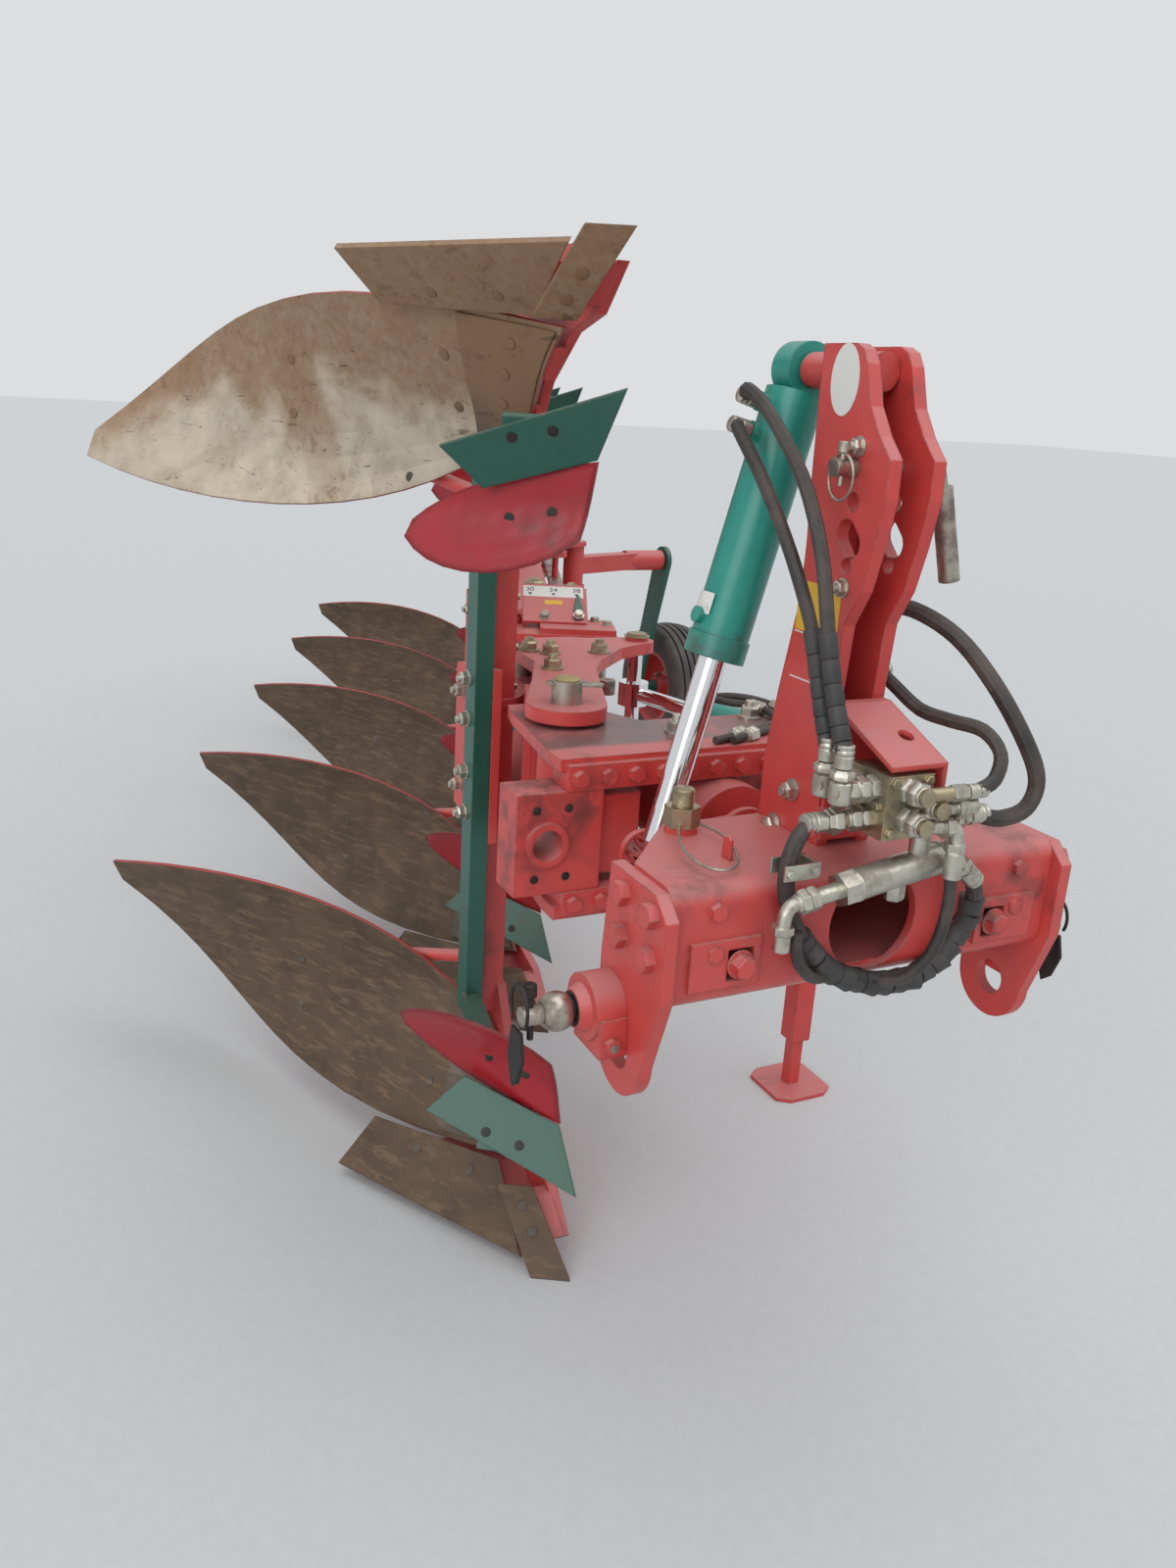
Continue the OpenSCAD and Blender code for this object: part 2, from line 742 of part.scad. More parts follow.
module carriage() {
  color(red) at_axis() difference() {
    union() {
      block([-frame_x - 78, -carriage_y - 53, -carriage_z], [-frame_x - 4, -carriage_y + 97, carriage_z]);
      translate([0, -carriage_y, 0]) rod_x(-frame_x - 6, -frame_x + 4, carriage_bore + 22);
      block([-frame_x - 78, -carriage_y + 96, -68], [-frame_x - 22, -88 - 60, 68]);
    }
    translate([0, -carriage_y, 0]) rod_x(-frame_x - 80, -frame_x + 6, carriage_bore);
    for (y = [-18, 37]) for (z = [-58, 58])
      translate([0, -carriage_y + y, z]) rod_x(-frame_x - 40, -frame_x, 14);
  }
}

module head_pin() {
  color(steel) at_axis() translate([-head_x, -head_y, 0]) {
    translate([0, 0, -head_h - 40]) cylinder(h = 2 * head_h + 80, d = head_d);
  }
}

sleeve_top = -470;
sleeve_end = -790;
arm_z = -plate_z - plate_t;

module stand_sleeve() {
  color(red) at_axis() difference() {
    union() {
      translate([stand_at[0] - sleeve_w / 2, stand_at[1] - sleeve_w / 2, sleeve_end])
        cube([sleeve_w, sleeve_w, arm_z - 20 - sleeve_end]);
      translate([0, 0, arm_z - 24]) linear_extrude(24 - seat)
        link([-frame_x - 130, rail_half - 50], 46, stand_at, 44);
    }
    translate([stand_at[0] - stand_w / 2 - run_fit, stand_at[1] - stand_w / 2 - run_fit, sleeve_end - 1])
      cube([stand_w + 2 * run_fit, stand_w + 2 * run_fit, arm_z - 40 - sleeve_end]);
  }
}

module stand_leg() {
  color(red) at_axis() translate([stand_at[0], stand_at[1], 0]) {
    translate([-stand_w / 2, -stand_w / 2, -ground + 6]) cube([stand_w, stand_w, ground + sleeve_top]);
    translate([0, 0, -ground]) linear_extrude(9)
      polygon([
        [foot_w / 2, foot_w / 2 - 30], [foot_w / 2, 30 - foot_w / 2], [foot_w / 2 - 22, -foot_w / 2],
        [22 - foot_w / 2, -foot_w / 2], [-foot_w / 2, 30 - foot_w / 2], [-foot_w / 2, foot_w / 2 - 30],
        [22 - foot_w / 2, foot_w / 2], [foot_w / 2 - 22, foot_w / 2]
      ]);
  }
}

// Turnover cylinder, drawn hanging straight down from its pivot and then leaned over

bore_d = barrel_d - 16;
barrel_end = 432;
piston_at = 345;

module at_cylinder() {
  at_axis() translate([-cyl_x, 0, pivot_h]) rotate([-lean, 0, 0]) children();
}

module turnover_barrel() {
  color(green) at_cylinder() difference() {
    union() {
      rod_x(-eye_half, eye_half, pivot_d + 44);
      translate([0, 0, -barrel_end]) cylinder(h = barrel_end - 34, d = barrel_d);
      translate([0, 0, -barrel_end]) cylinder(h = 34, d = barrel_d + 6);
      for (z = port_at) translate([0, 0, z]) rod_y(-port_end, 0, 28);
      translate([0, 0, -barrel_end + 56]) rod_y(-barrel_d / 2 - 10, 0, 24);
    }
    rod_x(-eye_half - 1, eye_half + 1, pivot_d + 2 * run_fit);
    translate([0, 0, -barrel_end + 30]) cylinder(h = barrel_end - 90, d = bore_d);
    translate([0, 0, -barrel_end - 1]) cylinder(h = 40, d = rod_d + 2 * run_fit);
  }
}

module turnover_rod() {
  color(steel) at_cylinder() {
    translate([0, 0, -cyl_l + 20]) cylinder(h = cyl_l - piston_at - 15, d = rod_d);
    translate([0, 0, -piston_at - 15]) cylinder(h = 30, d = bore_d - 2 * run_fit);
    translate([0, 0, -cyl_l]) rod_x(-eye_half + 2, eye_half - 2, rod_eye_d);
  }
}

// Beam

head_nose = 72;

module head_shape() {
  difference() {
    union() {
      circle(r = head_nose);
      polygon([
        [0, -head_nose], [286, -75], [375, -95], [500, -149], [memory_pin[0] - 30, memory_pin[1] - 22],
        [memory_pin[0] + 36, memory_pin[1]], [597, -84], [600, -34], [567, 52], [432, 80],
        [326, 46], [160, 56], [0, head_nose]
      ]);
      translate(memory_pin) circle(38);
    }
    circle(d = head_d + 2 * run_fit);
  }
}

web_in = beam_w / 2 + seat;
head_web = 140;

module beam_head() {
  color(red) at_axis() {
    at_beam() {
      both_ways() translate([0, 0, head_z]) linear_extrude(head_t) head_shape();
      block([head_web, web_in, -head_z - 1], [head_web + 88, web_in + 16, head_z + 1]);
      block([head_web, -web_in - 16, -head_z - 1], [head_web + 420, -web_in, head_z + 1]);
      both_ways() block([head_web, -web_in - 1, beam_h / 2 + 10], [head_web + 85, web_in + 1, head_z + 1]);
      translate([memory_pin[0], memory_pin[1], head_h]) cylinder(h = 8, d = memory_pin_d + 18);
    }
  }
}

beam_start = 130;
beam_l = first_body + (bodies - 1) * body_pitch + 150 - beam_start;

module beam() {
  color(red) at_axis() at_beam() difference() {
    union() {
      difference() {
        block([beam_start, -beam_w / 2, -beam_h / 2], [beam_start + beam_l, beam_w / 2, beam_h / 2]);
        block([beam_start - 1, beam_wall - beam_w / 2, beam_wall - beam_h / 2],
          [beam_start + beam_l - 12, beam_w / 2 - beam_wall, beam_h / 2 - beam_wall]);
      }
      for (k = [0 : bodies - 1])
        translate([first_body + k * body_pitch, 0, -beam_h / 2 - 6]) cylinder(h = beam_h + 12, d = pin_boss_d);
    }
    for (k = [0 : bodies - 1])
      translate([first_body + k * body_pitch, 0, -beam_h / 2 - 7])
        cylinder(h = beam_h + 14, d = body_pin_d + 2 * run_fit);
  }
}

scale_y = [-94, 56];
scale_foot = 138;

// Foot plates over the first body, with the slanted plate of the width scale
module scale_plate() {
  color(red) at_axis() at_beam(first_body) {
    block([100, -30, beam_h / 2 + seat], [160, 30, scale_foot - 10]);
    block([60, -168, scale_foot - 20], [230, 92, scale_foot]);
    block([66, -165, scale_foot - 1], [205, 15, scale_foot + 14]);
    plate_y(scale_y[0], scale_y[1])
      polygon([[130, scale_foot + 13], [250, 222], [247, 228], [127, scale_foot + 19]]);
    for (y = [scale_y[0] - 8, scale_y[1] - 8]) plate_y(y, y + 8)
      polygon([[140, scale_foot - 1], [228, scale_foot - 1], [246, 221], [134, scale_foot + 16]]);
  }
}

wheel_post = [-3300, 1120];
arm_pin_d = 50;
arm_pin_l = 130;
bracket_gap = 255;
bracket_at = first_body + 2 * body_pitch + bracket_gap;
bracket_root = [-head_x - bracket_at * cos(sweep), -head_y + bracket_at * sin(sweep)];

module wheel_bracket() {
  color(red) at_axis() difference() {
    union() {
      both_ways() translate([0, 0, beam_h / 2 + seat]) linear_extrude(18)
        link(bracket_root, 66, wheel_post, 50);
      translate([wheel_post[0], wheel_post[1], -beam_h / 2 - 2]) cylinder(h = beam_h + 4, d = 84);
      translate([0, 0, -34]) linear_extrude(68) link(wheel_post, 40, [-arm_x, arm_face - 150], 34);
      translate([-arm_x, 0, 0]) rod_y(arm_face - 184, arm_face - 5, arm_pin_d + 36);
    }
    translate([-arm_x, 0, 0]) rod_y(arm_face - arm_pin_l - 2, arm_face, arm_pin_d + 2 * run_fit);
  }
}

// Width rod, tying the five legs on the left of the beam

module width_rod() {
  color(steel) at_axis() at_beam() difference() {
    translate([0, 0, -11]) linear_extrude(22) {
      translate([first_body, -rod_off - 24]) square([(bodies - 1) * body_pitch, 48]);
      for (k = [0, bodies - 1]) translate([first_body + k * body_pitch, -rod_off]) circle(24);
    }
    for (k = [0 : bodies - 1])
      translate([first_body + k * body_pitch, -rod_off, -12]) cylinder(h = 24, d = 24 + 2 * run_fit);
  }
}

// Memory cylinder between the turning frame and the beam head

module at_memory() {
  at_axis() translate([lug[0], lug[1], memory_z]) rotate([0, 0, memory_a]) children();
}

memory_end = 330;

module memory_barrel() {
  color(green) at_memory() difference() {
    union() {
      rotate([0, 90, 0]) translate([0, 0, 26]) cylinder(h = memory_end - 26, d = 72);
      translate([0, 0, 2 - lug_in]) cylinder(h = 2 * lug_in - 4, d = 60);
      translate([0, 0, -lug_out - 4]) cylinder(h = 2 * lug_out + 8, d = lug_d - 2 * run_fit);
    }
    rotate([0, 90, 0]) translate([0, 0, 44]) cylinder(h = memory_end - 64, d = 58);
    rotate([0, 90, 0]) translate([0, 0, 44]) cylinder(h = memory_end, d = 34 + 2 * run_fit);
  }
}

module memory_rod() {
  color(steel) at_memory() {
    rotate([0, 90, 0]) translate([0, 0, memory_end - 100]) cylinder(h = memory_l - memory_end + 80, d = 34);
    rotate([0, 90, 0]) translate([0, 0, memory_end - 100]) cylinder(h = 26, d = 58 - 2 * run_fit);
    translate([memory_l, 0, -26]) cylinder(h = 52, d = memory_pin_d + 34);
    translate([memory_l, 0, 6 - head_z - memory_z]) cylinder(h = 2 * head_z - 12, d = memory_pin_d);
  }
}

// Depth wheel

module wheel_arm() {
  color(green) at_axis() {
    translate([-arm_x, 0, 0]) rod_y(arm_face - arm_pin_l, arm_face + 1, arm_pin_d);
    plate_y(arm_face, arm_face + 20) link([-arm_x, 0], 60, [-wheel_x, wheel_z], 44);
    translate([-wheel_x, 0, wheel_z]) rod_y(arm_face + 19, wheel_y + 80, axle_d);
    translate([-wheel_x, 0, wheel_z]) rod_y(arm_face + 19, wheel_y - 62, axle_d + 26);
  }
}

wheel_hub_d = 90;
bed_r = rim_d / 2 - 6;
bed_half = tyre_w / 2 - 32;
flange_r = rim_d / 2 + 8;
flange_half = tyre_w / 2 - 26;
bead_gap = 0.2;

module wheel_rim() {
  color(red) at_axis() translate([-wheel_x, wheel_y, wheel_z]) rotate([90, 0, 0]) rotate_extrude($fn = 72)
    polygon([
      [axle_d / 2 + run_fit, -60], [wheel_hub_d / 2, -60], [wheel_hub_d / 2, -6], [bed_r - 8, -6],
      [bed_r - 8, -bed_half - 8], [flange_r, -flange_half - 8], [flange_r, -flange_half],
      [bed_r, -bed_half], [bed_r, bed_half], [flange_r, flange_half],
      [flange_r, flange_half + 8], [bed_r - 8, bed_half + 8],
      [bed_r - 8, 6], [wheel_hub_d / 2, 6], [wheel_hub_d / 2, 60], [axle_d / 2 + run_fit, 60]
    ]);
}

module wheel_tyre() {
  color(black) at_axis() translate([-wheel_x, wheel_y, wheel_z]) rotate([90, 0, 0]) rotate_extrude($fn = 72)
    polygon([
      [bed_r + seat, bead_gap - bed_half], [flange_r + seat, bead_gap - flange_half],
      [flange_r + seat, -flange_half - 8], [rim_d / 2 + 20, -tyre_w / 2 + 8],
      [tyre_d / 2 - 60, -tyre_w / 2], [tyre_d / 2 - 16, -tyre_w / 2 + 14],
      [tyre_d / 2, -tyre_w / 2 + 44], [tyre_d / 2, tyre_w / 2 - 44],
      [tyre_d / 2 - 16, tyre_w / 2 - 14], [tyre_d / 2 - 60, tyre_w / 2],
      [rim_d / 2 + 20, tyre_w / 2 - 8], [flange_r + seat, flange_half + 8],
      [flange_r + seat, flange_half - bead_gap], [bed_r + seat, bed_half - bead_gap]
    ]);
}

// Bodies

rod_pin = [body_x + rod_off * sin(sweep), body_y + rod_off * cos(sweep)];

module leg(k) {
  color(red) at_body(k) difference() {
    union() {
      both_ways() translate([0, 0, bracket_in]) linear_extrude(bracket_t) {
        link([body_x, body_y], 72, [-leg_x, -leg_y], 54);
        link([body_x, body_y], 72, rod_pin, 42);
      }
      translate([body_x, body_y, -bracket_in - bracket_t]) cylinder(h = 2 * (bracket_in + bracket_t), d = body_pin_d);
      translate([rod_pin[0], rod_pin[1], -bracket_in - 1]) cylinder(h = 2 * bracket_in + 2, d = 24);
      block([-leg_x - leg_w / 2, -leg_y - leg_t / 2, -leg_end], [-leg_x + leg_w / 2, -leg_y + leg_t / 2, leg_end]);
      plate_y(-leg_y - leg_t / 2 - cheek, 1 - leg_y - leg_t / 2)
        polygon([[-leg_x - 110, -150], [-leg_x + 90, -176], [-leg_x + 90, 176], [-leg_x - 110, 150]]);
      both_ways() {
        plate_y(frog_y, frog_y + 20)
          polygon([
            [-leg_x - leg_w / 2, -510], [-leg_x + leg_w / 2, -510], [-700, -700], [-600, -780],
            [-510, -806], [-440, -880], [-880, -880], [-leg_x - leg_w / 2, -700]
          ]);
        block([-1000, frog_y + 19, -ground], [-540, frog_y + 38, -860]);
        board_pad(1);
        board_pad(5);
        point_pad();
        board_stay();
        share_pad();
      }
    }
  }
}

cheek = 18;
leg_end = 570;

// Mouldboard edges of the lower board of body 1
edge_low = [[-584, -208, -784], [-1135, -626, -901], [-1544, -513, -815], [-1704, -840, -543]];
edge_top = [[-787, -199, -612], [-1068, -310, -418], [-1301, -625, -383], [-1693, -861, -488]];
edge_shin = [[-584, -208, -784], [-664, -231, -694], [-712, -184, -643], [-787, -199, -612]];
cuts_u = 14;
cuts_v = 8;

function patch(u, v) =
  let (
    low = bez(edge_low, u), top = bez(edge_top, u), shin = bez(edge_shin, v),
    tail = (1 - v) * edge_low[3] + v * edge_top[3],
    corner = (1 - u) * ((1 - v) * edge_low[0] + v * edge_top[0])
      + u * ((1 - v) * edge_low[3] + v * edge_top[3]),
    p = (1 - v) * low + v * top + (1 - u) * shin + u * tail - corner
  )
  p + board_hollow * 4 * v * (1 - v) * 6.75 * u * (1 - u) * (1 - u) * [-0.35, 0.9, 0];

function normal(u, v) =
  let (e = 0.004, a = min(u, 1 - e), b = min(v, 1 - e))
  unit(cross(patch(a + e, b) - patch(a, b), patch(a, b + e) - patch(a, b)));

function board_row(v, off) =
  [for (i = [0 : cuts_u]) let (u = i / cuts_u) patch(u, v) + off * normal(u, v)];

module board() {
  shell(
    [for (j = [0 : cuts_v]) board_row(j / cuts_v, 0)],
    [for (j = [0 : cuts_v]) board_row(j / cuts_v, board_t)]
  );
}

// Share corners: wing and nose on the cutting edge, then the joint with the board
share_low = [[-440, -272, -897], [-846, -518, -892]];
share_nose = [-612, -250, -800];
share_wing = [-880, -418, -830];
share_n = unit(cross(share_low[1] - share_low[0], share_nose - share_low[0]));
share_top = [share_nose, share_wing - ((share_wing - share_low[0]) * share_n) * share_n];

function share_row(p, off) = [for (c = p) c + off * share_n];

module share() {
  shell([share_row(share_low, 0), share_row(share_top, 0)],
    [share_row(share_low, share_t), share_row(share_top, share_t)]);
}

point_low = [[-363, -199, -ground], [-400, -265, -ground]];
point_top = [[-498, -225, -792], [-532, -286, -792]];
point_n = unit(cross(point_low[1] - point_top[0], point_top[1] - point_low[0]));
point_foot = [-14, 4, 0];
point_back = [[for (c = point_low) c + point_foot], [for (c = point_top) c + point_t * point_n]];

module point() {
  shell([point_low, point_top],
    point_back);
}

// Castings of the frog that reach from its plate to the backs of the board and the share
frog_y = -188;

function board_back(i, j, off) =
  patch(i / cuts_u, j / cuts_v) + (board_t + off) * normal(i / cuts_u, j / cuts_v);

// Carries a grid of points straight back to the frog plate
function to_frog(rows) = [for (r = rows) [for (p = r) [p[0], frog_y + 6, p[2]]]];

module board_pad(j0) {
  back = [for (j = [j0 : j0 + 2]) [for (i = [0 : 2]) board_back(i, j, seat)]];
  shell(back, to_frog(back));
}

// Stay from the leg to the back of the board, with a pad that follows the board
stay_root = [-leg_x, -leg_y + leg_t / 2 - 4, -470];
stay_rows = [3 : 5];

module board_stay() {
  shell([for (j = stay_rows) [for (i = [7, 8]) board_back(i, j, seat)]],
    [for (j = stay_rows) [for (i = [7, 8]) board_back(i, j, 22)]]);
  bar(stay_root, board_back(7.5, 4, 19), 28);
}

// Nose of the frog behind the point
point_back_n = unit(cross(point_back[0][1] - point_back[0][0], point_back[1][0] - point_back[0][0]));

module point_pad() {
  back = [for (v = [0.4, 0.9]) [for (u = [0.08, 0.8])
    (1 - v) * ((1 - u) * point_back[0][0] + u * point_back[0][1])
      + v * ((1 - u) * point_back[1][0] + u * point_back[1][1]) + seat * point_back_n]];
  shell(back, to_frog(back));
}

module share_pad() {
  back = [for (v = [0.25, 0.85]) [for (u = [0.2, 0.62])
    (1 - v) * ((1 - u) * share_low[0] + u * share_low[1])
      + v * ((1 - u) * share_top[0] + u * share_top[1]) + (share_t + seat) * share_n]];
  shell(back, to_frog(back));
}

module body_boards(k) {
  color(worn) at_body(k) both_ways() {
    board();
    share();
    point();
  }
}

// Right end of the joint between the two plates of the lower skimmer of body 1
skim_at = [-388, -227, -588];
skim_turn = 39;
share_turn = 54.8;
share_tilt = 27.9;
skim_low = [[-2, 2], [-120, 22], [-262, 52], [-330, 118]];
skim_high = [[-21, 124], [-110, 206], [-275, 204], [-338, 146]];
skim_steps = 9;
skim_curl = 30;
skim_flat = 60;
skim_share_outline = [[-2, 0], [-189, 64], [-253, -7], [45, -120]];
stalk_front = -765;
stalk_left = -leg_y - leg_t / 2 - cheek - seat;
stalk_mid = [stalk_front - stalk_x / 2, stalk_left - stalk_y / 2];
stalk_end = 545;
pad_at = [-530, -300];

// Face of a skimmer board in its own plane: flat at the joint, curling forward above
function skim_point(i, v, off) =
  let (
    u = i / skim_steps,
    p = (1 - v) * bez(skim_low, u) + v * bez(skim_high, u),
    rise = max(0, p[1] - skim_flat) / 100
  )
  [p[0], off - skim_curl * rise * rise, p[1]];

function skim_rows(off) =
  [for (j = [0 : 6]) [for (i = [0 : skim_steps]) skim_point(i, j / 6, off)]];

module skimmer_plate() {
  translate(skim_at) rotate([0, 0, skim_turn]) shell(skim_rows(0), skim_rows(skim_t));
}

module skimmer_share() {
  translate(skim_at) rotate([0, 0, share_turn]) rotate([-share_tilt, 0, 0])
    plate_y(0, skim_t) polygon(skim_share_outline);
}

module skimmer_carrier() {
  translate([0, 0, -stalk_end]) linear_extrude(42) {
    link(stalk_mid, stalk_y / 2, pad_at, 13);
    link(pad_at, 13, [-515, -309], 8);
  }
  translate([0, 0, -628]) linear_extrude(22) link(pad_at, 13, [-458, -306], 8);
  translate([pad_at[0], pad_at[1], -628]) cylinder(h = 628 - stalk_end + 10, d = 26);
  translate(skim_at) rotate([0, 0, skim_turn])
    block([-150, skim_t + seat, 18], [-84, skim_t + seat + 14, skim_flat]);
  translate(skim_at) rotate([0, 0, share_turn]) rotate([-share_tilt, 0, 0])
    block([-150, skim_t + seat, -62], [-66, skim_t + seat + 12, 8]);
}

module skimmers(k) {
  color(green) at_body(k) {
    translate([stalk_front - stalk_x, stalk_left - stalk_y, -stalk_end]) cube([stalk_x, stalk_y, 2 * stalk_end]);
    both_ways() {
      skimmer_carrier();
      skimmer_share();
    }
  }
}

module skim_boards(k) {
  color(red) at_body(k) both_ways() skimmer_plate();
}

module leg_1() { leg(1); }
module leg_2() { leg(2); }
module leg_3() { leg(3); }
module leg_4() { leg(4); }
module leg_5() { leg(5); }
module boards_1() { body_boards(1); }
module boards_2() { body_boards(2); }
module boards_3() { body_boards(3); }
module boards_4() { body_boards(4); }
module boards_5() { body_boards(5); }
module skimmers_1() { skimmers(1); }
module skimmers_2() { skimmers(2); }
module skimmers_3() { skimmers(3); }
module skimmers_4() { skimmers(4); }
module skimmers_5() { skimmers(5); }
module skim_boards_1() { skim_boards(1); }
module skim_boards_2() { skim_boards(2); }
module skim_boards_3() { skim_boards(3); }
module skim_boards_4() { skim_boards(4); }
module skim_boards_5() { skim_boards(5); }

headstock_box();
end_plate_left();
end_plate_right();
hitch_clamps();
cross_shaft();
hitch_balls();
mast_plate_left();
mast_plate_right();
mast_core();
top_link_pin();
stop_screws();
valve_block();
valve_cover();
pilot_valve();
hose_loop();
hose_arc();
cylinder_hoses();
turnover_shaft();
rail_plates();
rail_core();
carriage();
head_pin();
stand_sleeve();
stand_leg();
turnover_barrel();
turnover_rod();
beam_head();
beam();
scale_plate();
wheel_bracket();
width_rod();
memory_barrel();
memory_rod();
wheel_arm();
wheel_rim();
wheel_tyre();
leg_1();
leg_2();
leg_3();
leg_4();
leg_5();
boards_1();
boards_2();
boards_3();
boards_4();
boards_5();
skimmers_1();
skimmers_2();
skimmers_3();
skimmers_4();
skimmers_5();
skim_boards_1();
skim_boards_2();
skim_boards_3();
skim_boards_4();
skim_boards_5();
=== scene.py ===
"""Look of a five-furrow reversible plough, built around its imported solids."""

import json
import math
import random

import bmesh
import bpy
from mathutils import Matrix, Vector


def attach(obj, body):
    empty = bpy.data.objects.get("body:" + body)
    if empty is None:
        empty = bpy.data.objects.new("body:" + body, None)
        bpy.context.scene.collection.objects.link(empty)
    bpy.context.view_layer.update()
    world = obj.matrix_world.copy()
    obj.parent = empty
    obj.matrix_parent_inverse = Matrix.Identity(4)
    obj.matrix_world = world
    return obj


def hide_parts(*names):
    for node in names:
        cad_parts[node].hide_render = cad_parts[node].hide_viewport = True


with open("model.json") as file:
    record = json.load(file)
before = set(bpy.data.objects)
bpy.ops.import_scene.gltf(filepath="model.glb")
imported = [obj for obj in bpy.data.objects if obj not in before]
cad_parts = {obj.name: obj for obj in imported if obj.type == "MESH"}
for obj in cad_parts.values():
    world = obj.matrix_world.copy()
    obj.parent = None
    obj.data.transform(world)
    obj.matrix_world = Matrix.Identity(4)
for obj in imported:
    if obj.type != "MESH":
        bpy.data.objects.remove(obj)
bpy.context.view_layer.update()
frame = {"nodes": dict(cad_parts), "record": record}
nodes = frame["nodes"]

bl_info = {
    "name": "Reversible plough",
    "version": (1, 0, 0),
    "blender": (4, 5, 0),
    "location": "3D View > Sidebar > Plough",
    "description": "Dresses a five-furrow reversible plough with its finishes and small parts",
    "category": "Object",
}

X, Y, Z = Vector((1, 0, 0)), Vector((0, 1, 0)), Vector((0, 0, 1))

# Places in metres: the turnover axis is AXIS_H above the lower links, and the beam starts at the pin HEAD
AXIS_H = 0.12
GROUND_Z = -0.8
BALL_Y = 0.435
HEAD = Vector((-0.53, -0.193, AXIS_H))
HEAD_TOP = 0.17
SWEEP = math.radians(21.4)
WHEEL = Vector((-3.6, 1.78, AXIS_H - 0.62))

# The bodies: the first is FIRST_BODY along the beam, and the others follow a STEP apart
PITCH = 0.947
FIRST_BODY = 0.72
BODIES = range(5)
STEP = Vector((-PITCH * math.cos(SWEEP), PITCH * math.sin(SWEEP), 0))

# Faces of the headstock in millimetres from the turnover axis
MAST_SIDE = 46
BOX_TOP = 85
BLOCK_FRONT = 168
BLOCK_SIDE = -56


# Node maths


class Num:
    """A number socket of a node tree, so that its maths reads as Python."""

    def __init__(self, graph, socket):
        self.graph = graph
        self.socket = socket

    def math(self, operation, *others):
        node = self.graph.node("ShaderNodeMath", {"operation": operation})
        for slot, value in zip(node.inputs, (self, *others)):
            self.graph.feed(slot, value)
        return Num(self.graph, node.outputs[0])

    def __add__(self, other):
        return self.math("ADD", other)

    def __sub__(self, other):
        return self.math("SUBTRACT", other)

    def __rsub__(self, other):
        return Num(self.graph, self.graph.value(other)).math("SUBTRACT", self)

    def __mul__(self, other):
        return self.math("MULTIPLY", other)

    __radd__ = __add__
    __rmul__ = __mul__

    def most(self, other):
        return self.math("MAXIMUM", other)

    def least(self, other):
        return self.math("MINIMUM", other)

    def between(self, low, high):
        """0 below low, 1 above high, smooth between."""
        inputs = {"Value": self, "From Min": low, "From Max": high}
        node = self.graph.node("ShaderNodeMapRange", {"interpolation_type": "SMOOTHSTEP"}, inputs)
        return Num(self.graph, node.outputs[0])


class Graph:
    """A node tree, and the one method that makes its nodes."""

    def __init__(self, tree):
        self.tree = tree

    def feed(self, slot, value):
        if isinstance(value, Num):
            value = value.socket
        if isinstance(value, bpy.types.NodeSocket):
            self.tree.links.new(value, slot)
        else:
            slot.default_value = value

    def node(self, kind, settings=None, inputs=None):
        made = self.tree.nodes.new(kind)
        for key, value in (settings or {}).items():
            setattr(made, key, value)
        for key, value in (inputs or {}).items():
            slot = next(s for s in made.inputs if s.enabled and key in (s.name, s.identifier))
            self.feed(slot, value)
        return made

    def value(self, number):
        node = self.node("ShaderNodeValue")
        node.outputs[0].default_value = number
        return node.outputs[0]


